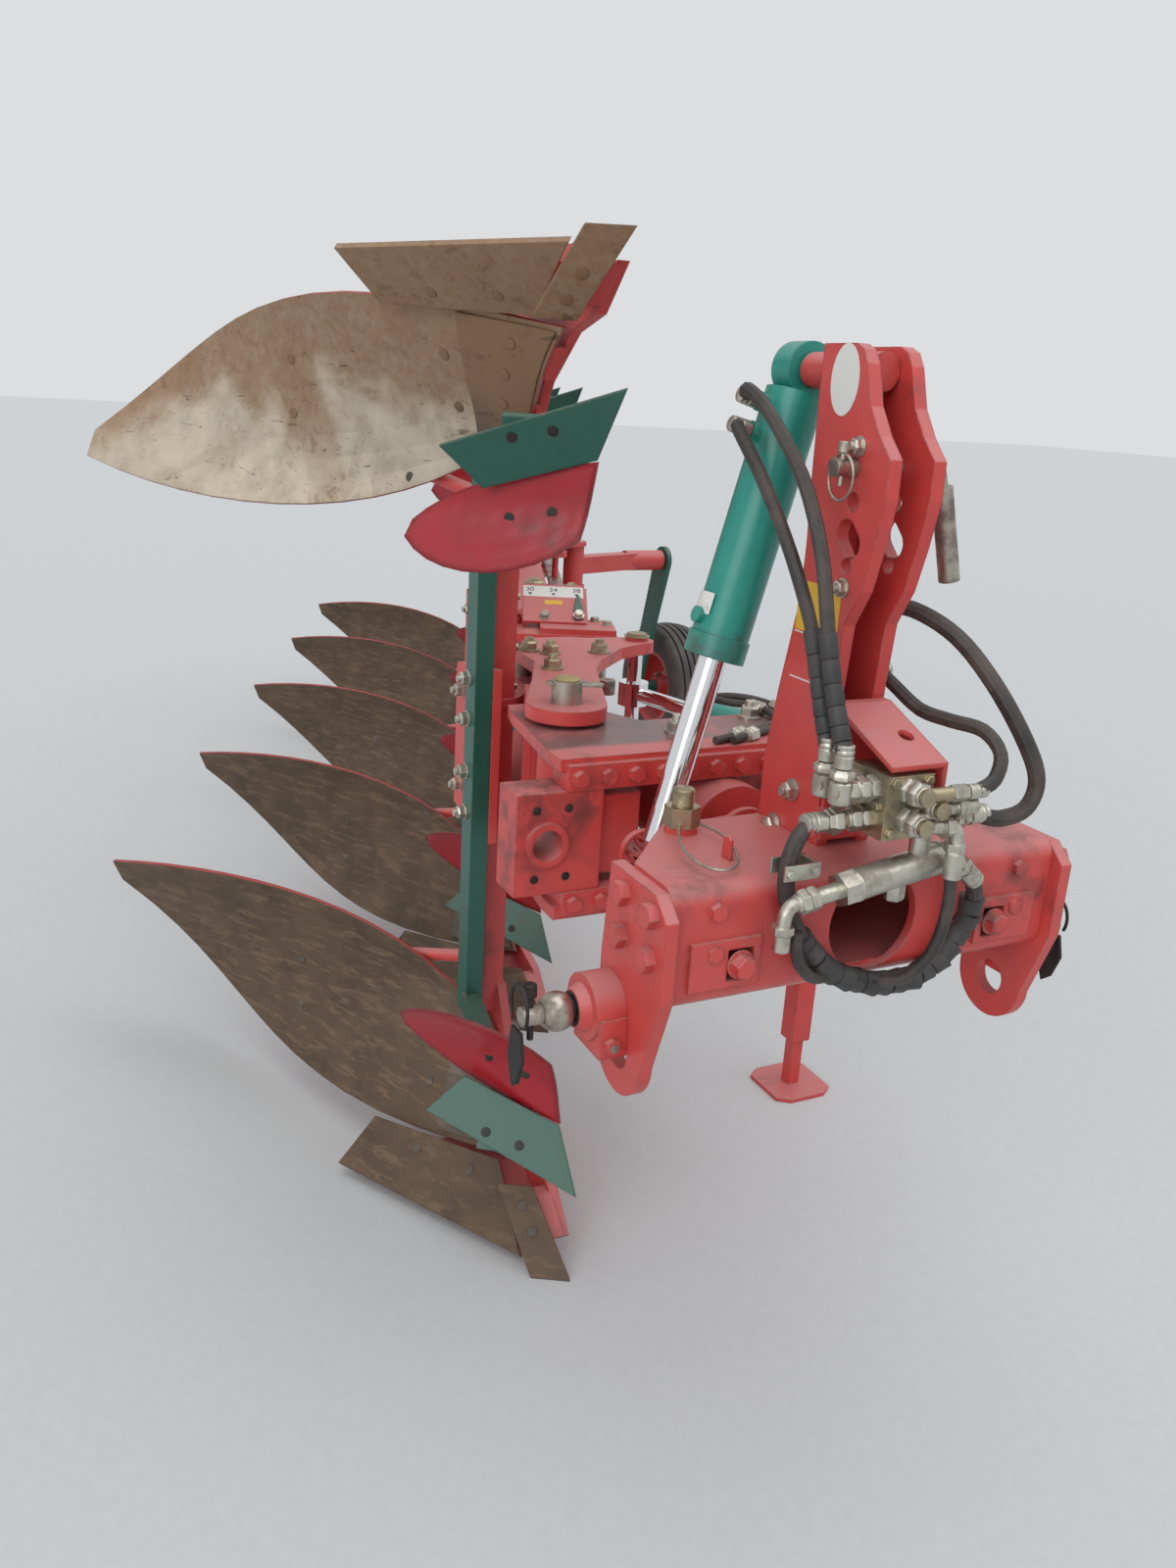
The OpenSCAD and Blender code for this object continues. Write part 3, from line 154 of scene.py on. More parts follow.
class Finish(Graph):
    """A procedural finish in the object's own coordinates."""

    def __init__(self, name):
        self.material = bpy.data.materials.new(name)
        self.material.use_nodes = True
        super().__init__(self.material.node_tree)
        self.tree.nodes.clear()
        coord = self.node("ShaderNodeTexCoord")
        self.place = coord.outputs["Object"]
        self.facing = coord.outputs["Normal"]

    def stretched(self, scale, turn):
        inputs = {"Vector": self.place, "Scale": scale, "Rotation": turn}
        return self.node("ShaderNodeMapping", None, inputs).outputs[0]

    def noise(self, scale, detail=4.0, rough=0.55, warp=0.0, place=None):
        inputs = {"Scale": scale, "Detail": detail, "Roughness": rough, "Distortion": warp}
        inputs["Vector"] = place or self.place
        return Num(self, self.node("ShaderNodeTexNoise", None, inputs).outputs["Fac"])

    def cells(self, scale):
        node = self.node("ShaderNodeTexVoronoi", None, {"Vector": self.place, "Scale": scale})
        return Num(self, node.outputs["Distance"])

    def dot(self, a, b):
        node = self.node("ShaderNodeVectorMath", {"operation": "DOT_PRODUCT"})
        self.feed(node.inputs[0], a)
        self.feed(node.inputs[1], b)
        return Num(self, node.outputs["Value"])

    def toward(self, direction):
        """How far the surface faces a direction, -1 to 1."""
        return self.dot(self.facing, direction)

    def along(self, axis):
        """The place's X, Y or Z in the object's own coordinates."""
        return Num(self, self.node("ShaderNodeSeparateXYZ", None, {"Vector": self.place}).outputs[axis])

    def mix(self, share, a, b):
        node = self.node("ShaderNodeMix", {"data_type": "RGBA"})
        for slot, value in zip((s for s in node.inputs if s.enabled), (share, a, b)):
            if isinstance(value, tuple):
                value = (*value, 1.0)
            self.feed(slot, value)
        return next(s for s in node.outputs if s.enabled)

    def rounded(self, radius):
        """Normal with its edges rounded, and a mask that is 1 on those edges."""
        bevel = self.node("ShaderNodeBevel", {"samples": 4}, {"Radius": radius})
        flat = self.node("ShaderNodeNewGeometry").outputs["Normal"]
        edge = 1.0 - self.dot(bevel.outputs[0], flat)
        return bevel.outputs[0], edge.between(0.015, 0.16)

    def done(self, color, rough, metal=0.0, height=None, depth=0.001, normal=None):
        """The finish's shader, with a bump of depth metres where it has a height."""
        if height is not None:
            inputs = {"Height": height, "Distance": depth, "Strength": 1.0}
            if normal is not None:
                inputs["Normal"] = normal
            normal = self.node("ShaderNodeBump", None, inputs).outputs[0]
        inputs = {"Base Color": color, "Roughness": rough, "Metallic": metal}
        if isinstance(color, tuple):
            inputs["Base Color"] = (*color, 1.0)
        if normal is not None:
            inputs["Normal"] = normal
        shader = self.node("ShaderNodeBsdfPrincipled", None, inputs)
        output = self.node("ShaderNodeOutputMaterial")
        self.feed(output.inputs["Surface"], shader.outputs[0])
        return self.material


# Finishes

GRIME = (0.07, 0.042, 0.036)
GREASE = (0.115, 0.085, 0.085)
# Pale dust colour that also stands for a painted sheen, the light that top faces reflect
PALE_DUST_AND_SHEEN = (0.52, 0.3, 0.285)
DARK_RUST = (0.2, 0.1, 0.06)
PALE_RUST = (0.34, 0.28, 0.24)
PALE_SOIL = (0.32, 0.21, 0.125)
RED_SOIL = (0.26, 0.14, 0.068)
RUST_BLOT = (0.2, 0.11, 0.06)
RUST_FLECK = (0.085, 0.05, 0.034)
RUST_PIT = (0.07, 0.043, 0.033)


def tinted(color, share):
    return tuple(share * c for c in color)


def worn_paint(
    name, color, dust=0.5, film_color=PALE_DUST_AND_SHEEN, gloss=0.34, chip=1.0, grease=0.0, soft=0.004, dirt=0.58
):
    """Enamel with dust and a painted sheen on top, grime in patches, chips along its edges, and grease where
    the rail is rubbed.
    """
    f = Finish(name)
    normal, edge = f.rounded(soft)
    broad, fine, grit = f.noise(2.3), f.noise(17, 6, 0.65), f.noise(120, 3)
    # Painted sheen and dust: faces that look up are lightened toward the film colour, part real dust and part
    # reflected light laid into the colour
    top = f.toward((0, 0, 1)).between(0.1, 0.9)
    film = ((broad.between(0.3, 0.75) * 0.2 + top * 0.95) * (0.55 + fine * 0.7) * dust).least(0.85)
    base = f.mix(fine.between(0.35, 0.7) * 0.5, color, tinted(color, 0.72))
    base = f.mix(film, base, film_color)
    grime = (f.noise(4.1, 5, 0.6, 0.4).between(dirt, dirt + 0.14) * fine.between(0.35, 0.6)) * 0.7
    base = f.mix(grime, base, GRIME)
    rubbed = edge * f.noise(31, 4, 0.7).between(0.46, 0.6) * 0.85
    chipped = f.noise(9, 7, 0.75).between(0.71, 0.74) * fine.between(0.5, 0.6)
    worn = rubbed.most(chipped) * chip
    rust = f.mix(f.noise(60).between(0.4, 0.65), DARK_RUST, PALE_RUST)
    base = f.mix(worn, base, rust)
    rough = gloss + film * 0.3 + grit * 0.1 + worn * 0.25
    if grease:
        behind = 1.0 - (f.along("X") + fine * 0.02).between(-0.37, -0.345)
        slick = top * behind * f.noise(5, 5, 0.6, 0.5).between(0.3, 0.58) * grease
        base = f.mix(slick, base, GREASE)
        rough = rough - slick * 0.2
    height = grit * 0.06 + fine * 0.25 - worn * 0.5
    return f.done(base, rough, worn * 0.3, height, 0.0006, normal)


def soil_steel(name, shaded_low, lit_high, painted=None):
    """Plough steel: rougher and darker below the axis, the dark a painted shade; scoured, lighter and soiled
    above it, the light a painted light and reflection; its back and rims painted.
    """
    f = Finish(name)
    normal = f.rounded(0.003)[0]
    up = f.along("Z")
    broad, mid, fine = f.noise(2.6, 3, 0.5, 0.3), f.noise(9, 6, 0.6, 0.3), f.noise(60, 5, 0.6)
    long = f.stretched((9, 16, 60), (0.0, math.radians(28), math.radians(-38)))
    streak = f.noise(1.0, 6, 0.65, 0.4, long)
    # Painted light and shade: above the axis the steel takes its lit colour, a painted light and reflection,
    # and below it its shaded colour, a painted shade
    raised = up.between(AXIS_H - 0.05, AXIS_H + 0.05)
    brown = (up + broad * 0.55 + mid * 0.2).between(AXIS_H + 0.9, AXIS_H + 1.05) * raised
    low = f.mix(mid.between(0.3, 0.7), shaded_low, tinted(shaded_low, 0.62))
    low = f.mix(streak.between(0.5, 0.66) * (0.25 + broad * 0.6), low, tinted(shaded_low, 1.9))
    high = f.mix(mid.between(0.3, 0.7), lit_high, tinted(lit_high, 0.74))
    soil = broad.between(0.44, 0.6) * 0.45 + mid.between(0.5, 0.7) * 0.35
    high = f.mix(soil, high, PALE_SOIL)
    high = f.mix(brown * (0.5 + fine * 0.6), high, RED_SOIL)
    blots = f.noise(26, 5, 0.65, 0.3).between(0.56, 0.66) * raised * broad.between(0.35, 0.6)
    high = f.mix(blots * 0.6, high, RUST_BLOT)
    # Lit copy above the axis, shaded copy below it: painted light and painted shade
    base = f.mix(raised, low, high)
    flecks = streak.between(0.61, 0.68) * fine.between(0.4, 0.55)
    base = f.mix(flecks * 0.7, base, RUST_FLECK)
    pits = (1.0 - f.cells(85).between(0.1, 0.2)) * mid.between(0.48, 0.56)
    base = f.mix(pits * 0.6, base, RUST_PIT)
    clean = raised * (1.0 - brown * 0.8) * (1.0 - soil)
    rough = 0.52 - clean * 0.2 + fine * 0.08
    sheen = 0.2 + clean * 0.5
    if painted:
        rim = f.toward((0, 0, 1)).math("ABSOLUTE").between(0.76, 0.88)
        back = f.toward((-0.35, 0.9, 0)).between(0.1, 0.3).most(rim)
        base = f.mix(back * (0.92 - flecks * 0.6), base, painted)
        sheen = sheen * (1.0 - back)
        rough = rough - back * 0.08
    return f.done(base, rough.least(0.9), sheen.most(0.0), fine * 0.3 + flecks * 0.4 + mid, 0.0006, normal)


def metal(name, color, rough, grime, grime_color=(0.1, 0.075, 0.055)):
    """Plated or bare metal with greasy dirt in patches."""
    f = Finish(name)
    normal, edge = f.rounded(0.0012)
    patch, fine = f.noise(23, 5, 0.65), f.noise(200, 3)
    dirt = patch.between(0.42, 0.66) * grime + fine.between(0.55, 0.7) * 0.15 * grime
    base = f.mix(dirt, color, grime_color)
    base = f.mix(edge * 0.3, base, tuple(min(1.0, 1.3 * c) for c in color))
    return f.done(base, rough + dirt * 0.45, 1.0 - dirt * 0.7, fine * 0.3 + patch, 0.0003, normal)


def rubber(name, color, dust, film_color=(0.16, 0.12, 0.1), scale=14.0):
    """Soft and dark, with dust in patches."""
    f = Finish(name)
    patch, fine = f.noise(scale, 5, 0.65), f.noise(scale * 14, 3)
    film = (patch.between(0.35, 0.7) * 0.7 + fine * 0.3) * dust
    base = f.mix(film, color, film_color)
    return f.done(base, 0.5 + film * 0.35, 0.0, fine + patch * 0.5, 0.0004)


def chrome(name):
    """Bright plating with smears."""
    f = Finish(name)
    smear = f.noise(12, 5, 0.6).between(0.5, 0.8)
    return f.done((0.8, 0.8, 0.82), 0.07 + smear * 0.16, 1.0)


def sheet(name, color):
    """Printed foil: one colour, scuffed and dusty."""
    f = Finish(name)
    scuff = f.noise(45, 6, 0.7).between(0.56, 0.74)
    base = f.mix(scuff * 0.5, color, (0.2, 0.16, 0.13))
    return f.done(base, 0.4 + scuff * 0.25, 0.0, f.noise(90), 0.0001)


def floor_finish():
    """Pale concrete, almost even in tone."""
    f = Finish("pale_floor")
    tone = f.noise(40, 3).between(0.3, 0.7)
    return f.done(f.mix(tone, (0.55, 0.56, 0.56), (0.57, 0.58, 0.58)), 0.85)


# Shapes

# A hose ferrule's heights, and how far it stands out of its hose, in millimetres
CRIMPS = (
    (0, 1), (1, 2.5), (16, 2.5), (17.5, 1.2), (19, 2.2), (24, 2.2), (25.5, 1), (27, 2), (31, 1.6), (32, 0.2),
)


class Shape:
    """Gathers one piece's faces, in metres, in the frame's own place."""

    def __init__(self):
        self.bm = bmesh.new()

    def ring(self, centre, u, v, radius, sides):
        turns = (2 * math.pi * i / sides for i in range(sides))
        return [self.bm.verts.new(centre + radius * (math.cos(t) * u + math.sin(t) * v)) for t in turns]

    def skin(self, rings, cap=True, closed=False):
        for a, b in zip(rings, rings[1:] + (rings[:1] if closed else [])):
            for i in range(len(a)):
                j = (i + 1) % len(a)
                self.bm.faces.new((a[i], a[j], b[j], b[i]))
        if cap and not closed:
            self.bm.faces.new(rings[0][::-1])
            self.bm.faces.new(rings[-1])

    def lathe(self, centre, axis, profile, sides=24):
        """Turns a list of (height, radius) about an axis."""
        axis = axis.normalized()
        u = axis.orthogonal().normalized()
        v = axis.cross(u)
        self.skin([self.ring(centre + h * axis, u, v, r, sides) for h, r in profile])

    def rod(self, a, b, d, sides=16, chamfer=0.0):
        h, r, c = (b - a).length, d / 2, chamfer
        profile = [(0, r - c), (c, r), (h - c, r), (h, r - c)] if c else [(0, r), (h, r)]
        self.lathe(a, b - a, profile, sides)

    def hexagon(self, centre, axis, across, height):
        r = across / 2 / math.cos(math.pi / 6)
        self.lathe(centre, axis, [(0, r), (0.78 * height, r), (height, 0.87 * r)], 6)

    def nuts(self, centre, axis, d, places):
        """Union nuts along a fitting, each with a collar behind it, at distances in millimetres."""
        collar = [(0, d / 2 + 0.0015), (0.004, d / 2 + 0.0015), (0.005, d / 2 + 0.0003)]
        for at in places:
            start = centre + at / 1000 * axis
            self.hexagon(start, axis, d + 0.008, 0.012)
            self.lathe(start + 0.012 * axis, axis, collar, 20)

    def ferrule(self, point, axis, d):
        """Crimped sleeve on a hose's end, with the nut before it."""
        self.lathe(point + 0.001 * axis, axis, [(h / 1000, d / 2 + r / 1000) for h, r in CRIMPS], 24)
        self.hexagon(point - 0.013 * axis, axis, d + 0.0045, 0.0125)

    def sweep(self, points, d, sides=10, closed=False):
        """Round bar along points."""
        n = len(points)
        rings, u = [], None
        for i, p in enumerate(points):
            if closed:
                t = points[(i + 1) % n] - points[i - 1]
            else:
                t = points[min(i + 1, n - 1)] - points[max(i - 1, 0)]
            t.normalize()
            u = t.orthogonal().normalized() if u is None else (u - u.dot(t) * t).normalized()
            rings.append(self.ring(p, u, t.cross(u), d / 2, sides))
        self.skin(rings, not closed, closed)

    def plate(self, outline, origin, u, v, thick, ease=0.0):
        """Flat plate from an outline of (u, v) points, thick along u x v, its front rim eased."""
        n = u.cross(v).normalized()
        flat = [origin + a * u + b * v for a, b in outline]
        centre = sum(flat, Vector()) / len(flat)
        rings = [[self.bm.verts.new(p + lift * n) for p in flat] for lift in (0, thick - ease)]
        if ease:
            rings.append([self.bm.verts.new(p + (centre - p).normalized() * ease + thick * n) for p in flat])
        self.skin(rings)

    def shell(self, front, back):
        """Closed sheet between two grids of points."""
        sides = [[[self.bm.verts.new(p) for p in row] for row in grid] for grid in (front, back)]
        for g in sides:
            for r, s in zip(g, g[1:]):
                for i in range(len(r) - 1):
                    self.bm.faces.new((r[i], r[i + 1], s[i + 1], s[i]))
        rims = [g[0] + [r[-1] for r in g[1:]] + g[-1][-2::-1] + [r[0] for r in g[-2:0:-1]] for g in sides]
        self.skin(rims, cap=False)

    def piece(self, name, finish, body, smooth=40.0):
        bmesh.ops.recalc_face_normals(self.bm, faces=self.bm.faces)
        mesh = bpy.data.meshes.new(name)
        self.bm.to_mesh(mesh)
        self.bm.free()
        return settle(name, mesh, finish, body, smooth)


def settle(name, mesh, finish, body, smooth=0.0):
    """Makes a finished mesh a named piece that rides on its body."""
    mesh.materials.clear()
    mesh.materials.append(finishes[finish])
    obj = bpy.data.objects.new(name, mesh)
    bpy.context.scene.collection.objects.link(obj)
    if smooth:
        mesh.shade_smooth()
        mesh.set_sharp_from_angle(angle=math.radians(smooth))
    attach(obj, body)
    return obj


def rectangle(left, right, low, high):
    return [(left, low), (right, low), (right, high), (left, high)]


def foil(name, finish, body, plates, thick=0.0006):
    """Thin printed plates on red paint, each an outline with its place and its two directions."""
    shape = Shape()
    for outline, origin, u, v in plates:
        shape.plate(outline, origin, u, v, thick)
    shape.piece(name, finish, body, 0)


# Fasteners by geometry nodes

LEG_WASHER = dict(washer=(0.032, 0.003), stud=(0.016, 0.007))


def fastener_tree():
    """Puts a chamfered hexagon, its washer and its stud on every point."""
    tree = bpy.data.node_groups.new("fasteners", "GeometryNodeTree")
    face = tree.interface
    face.new_socket("Points", in_out="INPUT", socket_type="NodeSocketGeometry")
    for part in ("Head", "Washer", "Stud"):
        face.new_socket(f"{part} radius", in_out="INPUT", socket_type="NodeSocketFloat")
        face.new_socket(f"{part} height", in_out="INPUT", socket_type="NodeSocketFloat")
    face.new_socket("Sides", in_out="INPUT", socket_type="NodeSocketInt")
    face.new_socket("Finish", in_out="INPUT", socket_type="NodeSocketMaterial")
    face.new_socket("Fasteners", in_out="OUTPUT", socket_type="NodeSocketGeometry")
    g = Graph(tree)
    given = g.node("NodeGroupInput").outputs

    def drum(sides, radius, tip, low, height):
        """Cone or cylinder standing on low."""
        inputs = {"Vertices": sides, "Radius Bottom": radius, "Radius Top": tip, "Depth": height}
        cone = g.node("GeometryNodeMeshCone", None, inputs).outputs["Mesh"]
        lift = g.node("ShaderNodeCombineXYZ", None, {"Z": low}).outputs[0]
        return g.node("GeometryNodeTransform", None, {"Geometry": cone, "Translation": lift}).outputs[0]

    head_r, head_h = Num(g, given["Head radius"]), Num(g, given["Head height"])
    wash_r, wash_h = Num(g, given["Washer radius"]), Num(g, given["Washer height"])
    stud_r, stud_h = Num(g, given["Stud radius"]), Num(g, given["Stud height"])
    straight, chamfered, tapered = 0.8, 0.86, 0.9
    join = g.node("GeometryNodeJoinGeometry")
    for part in (
        drum(20, wash_r, wash_r, 0.0, wash_h),
        drum(given["Sides"], head_r, head_r, wash_h, head_h * straight),
        drum(given["Sides"], head_r, head_r * chamfered, wash_h + head_h * straight, head_h * (1 - straight)),
        drum(12, stud_r, stud_r * tapered, wash_h + head_h, stud_h),
    ):
        g.feed(join.inputs[0], part)
    inputs = {"Points": given["Points"], "Instance": join.outputs[0]}
    for socket, name, kind in (("Rotation", "turn", "FLOAT_VECTOR"), ("Scale", "size", "FLOAT")):
        read = g.node("GeometryNodeInputNamedAttribute", {"data_type": kind}, {"Name": name})
        inputs[socket] = next(s for s in read.outputs if s.enabled)
    put = g.node("GeometryNodeInstanceOnPoints", None, inputs)
    real = g.node("GeometryNodeRealizeInstances", None, {"Geometry": put.outputs[0]}).outputs[0]
    paint = g.node("GeometryNodeSetMaterial", None, {"Geometry": real, "Material": given["Finish"]})
    g.feed(g.node("NodeGroupOutput").inputs[0], paint.outputs[0])
    return tree


def fasten(name, places, body, finish, slot, head, washer=(0, 0), stud=(0, 0), sides=6):
    """Fasteners at (point, direction[, size]) places; head, washer and stud are (across, height)."""
    draw = random.Random(name)
    mesh = bpy.data.meshes.new(name)
    mesh.from_pydata([p[0] for p in places], [], [])
    mesh.attributes.new("turn", "FLOAT_VECTOR", "POINT")
    mesh.attributes.new("size", "FLOAT", "POINT")
    turn, size = mesh.attributes["turn"], mesh.attributes["size"]
    for i, place in enumerate(places):
        spin = Matrix.Rotation(draw.uniform(0, math.pi / 3), 3, "Z").to_quaternion()
        aim = place[1].normalized().to_track_quat("Z", "X") @ spin
        turn.data[i].vector = aim.to_euler()
        size.data[i].value = place[2] if len(place) > 2 else 1.0
    obj = bpy.data.objects.new(name, mesh)
    bpy.context.scene.collection.objects.link(obj)
    tree = bpy.data.node_groups.get("fasteners") or fastener_tree()
    modifier = obj.modifiers.new("Fasteners", "NODES")
    modifier.node_group = tree
    flats = 2 * math.cos(math.pi / 6) if sides == 6 else 2.0
    thinnest, lowest = 1e-4, 1e-5
    values = {
        "Head radius": head[0] / flats,
        "Head height": head[1],
        "Washer radius": max(washer[0] / 2, thinnest),
        "Washer height": max(washer[1], lowest),
        "Stud radius": max(stud[0] / 2, thinnest),
        "Stud height": max(stud[1], lowest),
        "Sides": sides,
        "Finish": finishes[finish],
    }
    for item in tree.interface.items_tree:
        if item.in_out == "INPUT" and item.name in values:
            modifier[item.identifier] = values[item.name]
    made = obj.evaluated_get(bpy.context.evaluated_depsgraph_get())
    plain = bpy.data.meshes.new_from_object(made)
    bpy.data.objects.remove(obj)
    plain.name = name
    return settle(name, plain, finish, body, 0.0 if sides == 6 else 35.0)


# Places on the plough


def at_beam(along, right, up):
    """A point along the beam, in metres from the head pin, to its right and above the axis."""
    back = Vector((-math.cos(SWEEP), math.sin(SWEEP), 0))
    side = Vector((-math.sin(SWEEP), -math.cos(SWEEP), 0))
    return HEAD + along * back + right * side + up * Z


def mm(x, y, z):
    """A point in millimetres from the turnover axis, as the part's source gives it."""
    return Vector((x, y, z)) / 1000 + AXIS_H * Z


def mms(*places):
    return [mm(*place) for place in places]


# The turnover cylinder: ROD_DOWN runs along it from its upper pin, and ROD_OUT away from the mast
PIVOT = mm(-200, 0, 735)
LEAN = math.asin(190 / math.hypot(190, 735))
ROD_DOWN = Vector((0, -math.sin(LEAN), -math.cos(LEAN)))
ROD_OUT = Vector((0, -math.cos(LEAN), math.sin(LEAN)))


def smooth_route(points, cuts):
    """Curve through all the points, with so many steps between two of them."""
    out = []
    last = len(points) - 1
    for i in range(last):
        a, b, c, d = points[max(i - 1, 0)], points[i], points[i + 1], points[min(i + 2, last)]
        square, cube = 2 * a - 5 * b + 4 * c - d, 3 * b - 3 * c + d - a
        for k in range(cuts):
            t = k / cuts
            out.append(0.5 * (2 * b + (c - a) * t + square * t**2 + cube * t**3))
    return out + [points[-1]]


def route(points, cuts):
    """The part's own hose route: straight at each end, smooth between."""
    points = mms(*points)
    return [points[0]] + smooth_route(points[1:-1], cuts) + [points[-1]]


def bezier(p, t):
    u = 1 - t
    return u**3 * p[0] + 3 * u * u * t * p[1] + 3 * u * t * t * p[2] + t**3 * p[3]


# Edges of the first lower mouldboard, how hollow it is, and how far along it its shin plate reaches
EDGE_LOW = mms((-584, -208, -784), (-1135, -626, -901), (-1544, -513, -815), (-1704, -840, -543))
EDGE_TOP = mms((-787, -199, -612), (-1068, -310, -418), (-1301, -625, -383), (-1693, -861, -488))
EDGE_SHIN = mms((-584, -208, -784), (-664, -231, -694), (-712, -184, -643), (-787, -199, -612))
HOLLOW = 0.034
SHIN_EDGE = 0.12


def board_point(u, v):
    """Front of the first lower mouldboard, u along it and v up it."""
    low, top, shin = bezier(EDGE_LOW, u), bezier(EDGE_TOP, u), bezier(EDGE_SHIN, v)
    tail = (1 - v) * EDGE_LOW[3] + v * EDGE_TOP[3]
    corner = (1 - u) * ((1 - v) * EDGE_LOW[0] + v * EDGE_TOP[0]) + u * tail
    # 4 and 6.75 bring each hump to 1 at its highest
    bow = HOLLOW * 4 * v * (1 - v) * 6.75 * u * (1 - u) ** 2
    return (1 - v) * low + v * top + (1 - u) * shin + u * tail - corner + bow * Vector((-0.35, 0.9, 0))


def board_normal(u, v):
    e = 0.004
    a, b = min(u, 1 - e), min(v, 1 - e)
    p = board_point(a, b)
    return (board_point(a + e, b) - p).cross(board_point(a, b + e) - p).normalized()


def above(p):
    """The twin of a point on the other side of the turnover axis."""
    return Vector((p.x, p.y, 2 * AXIS_H - p.z))


def both(places):
    """Fastener places with their twins above the axis."""
    return places + [(above(p), Vector((d.x, d.y, -d.z)), *rest) for p, d, *rest in places]


def moved(places, k):
    """Places of the first body at body k."""
    return [(p + k * STEP, *rest) for p, *rest in places]


finishes = {}


# Operators


class Sizes(bpy.types.PropertyGroup):
    bolt: bpy.props.FloatProperty(
        name="Rail bolt", description="Width across flats", default=0.03, unit="LENGTH"
    )
    wrap: bpy.props.FloatProperty(
        name="Wrap turn", description="Pitch of the spiral wrap", default=0.0252, unit="LENGTH"
    )
    turns: bpy.props.IntProperty(name="Tyre steps", description="Steps around the tyre", default=96, min=48)


class Colors(bpy.types.PropertyGroup):
    red: bpy.props.FloatVectorProperty(
        name="Red", description="Red enamel", default=(0.6, 0.056, 0.05), subtype="COLOR"
    )
    green: bpy.props.FloatVectorProperty(
        name="Green", description="Green enamel", default=(0.012, 0.105, 0.074), subtype="COLOR"
    )
    barrel: bpy.props.FloatVectorProperty(
        name="Cylinder green", description="Green of cylinders", default=(0.018, 0.28, 0.22), subtype="COLOR"
    )
    skimmer_red: bpy.props.FloatVectorProperty(
        name="Skimmer red", description="Red of skimmer boards", default=(0.36, 0.01, 0.018), subtype="COLOR"
    )


def sizes():
    return bpy.context.scene.plough_sizes


def colors():
    return bpy.context.scene.plough_colors


class PLOUGH_OT_finishes(bpy.types.Operator):
    """Make every finish and give the solids theirs"""

    bl_idname = "plough.finishes"
    bl_label = "Finishes"

    def execute(self, context):
        c = colors()
        finishes.update(
            # The red and green paints below lighten their top faces with dust and a painted sheen
            red_paint=worn_paint("red_paint", tuple(c.red)),
            greasy_red=worn_paint("greasy_red", tuple(c.red), grease=0.85, dirt=0.52),
            dirty_red=worn_paint("dirty_red", tuple(c.red), dirt=0.46),
            green_paint=worn_paint("green_paint", tuple(c.green), 0.4, (0.16, 0.2, 0.16), 0.3, 0.8),
            cylinder_green=worn_paint("cylinder_green", tuple(c.barrel), 0.2, (0.16, 0.24, 0.2), 0.24, 0.3),
            skimmer_red=worn_paint(
                "skimmer_red", tuple(c.skimmer_red), 0.12, (0.42, 0.2, 0.2), 0.2, 0.1, soft=0.02
            ),
            # Board steel's first colour is its shaded copy below the axis and its second its lit copy above, a
            # painted shade and a painted light with reflection
            board_steel=soil_steel(
                "board_steel", (0.12, 0.075, 0.043), (0.64, 0.55, 0.43), (0.36, 0.045, 0.042)
            ),
            share_steel=soil_steel("share_steel", (0.25, 0.185, 0.13), (0.19, 0.125, 0.078)),
            shin_steel=soil_steel("shin_steel", (0.12, 0.092, 0.07), (0.11, 0.095, 0.085)),
            bare_steel=metal("bare_steel", (0.46, 0.42, 0.36), 0.34, 0.75),
            chrome_rod=chrome("chrome_rod"),
            yellow_zinc=metal("yellow_zinc", (0.42, 0.36, 0.24), 0.38, 0.6),
            bright_zinc=metal("bright_zinc", (0.56, 0.54, 0.47), 0.34, 0.55),
            black_iron=metal("black_iron", (0.05, 0.05, 0.05), 0.55, 0.5, (0.09, 0.06, 0.045)),
            hose=rubber("hose", (0.016, 0.016, 0.016), 0.55),
            wrap=rubber("wrap", (0.03, 0.03, 0.032), 0.4, (0.13, 0.11, 0.1), 25),
            tyre=rubber("tyre", (0.022, 0.021, 0.02), 0.75, (0.15, 0.13, 0.115), 6),
            white_foil=sheet("white_foil", (0.72, 0.71, 0.67)),
            yellow_foil=sheet("yellow_foil", (0.72, 0.42, 0.03)),
            black_print=sheet("black_print", (0.02, 0.02, 0.02)),
            red_tie=sheet("red_tie", (0.5, 0.03, 0.03)),
            grease=rubber("grease", (0.42, 0.33, 0.15), 0.4, (0.2, 0.14, 0.08), 30),
            pale_floor=floor_finish(),
        )
        special = {
            "skim_boards": "skimmer_red",
            "boards": "board_steel",
            "rail_plates": "greasy_red",
            "rail_core": "dirty_red",
            "carriage": "dirty_red",
            "turnover_shaft": "dirty_red",
            "turnover_barrel": "cylinder_green",
            "memory_barrel": "cylinder_green",
            "pilot_valve": "bright_zinc",
        }
        by_slot = {"zinc": "yellow_zinc", "worn_steel": "share_steel"}
        slots = {s["node"]: s["material_slot"] for s in frame["record"]["subparts"]}
        for name, obj in nodes.items():
            slot = slots[name]
            finish = finishes[special.get(name.rstrip("_12345"), by_slot.get(slot, slot))]
            obj.data.materials.clear()
            obj.data.materials.append(finish)
        return {"FINISHED"}


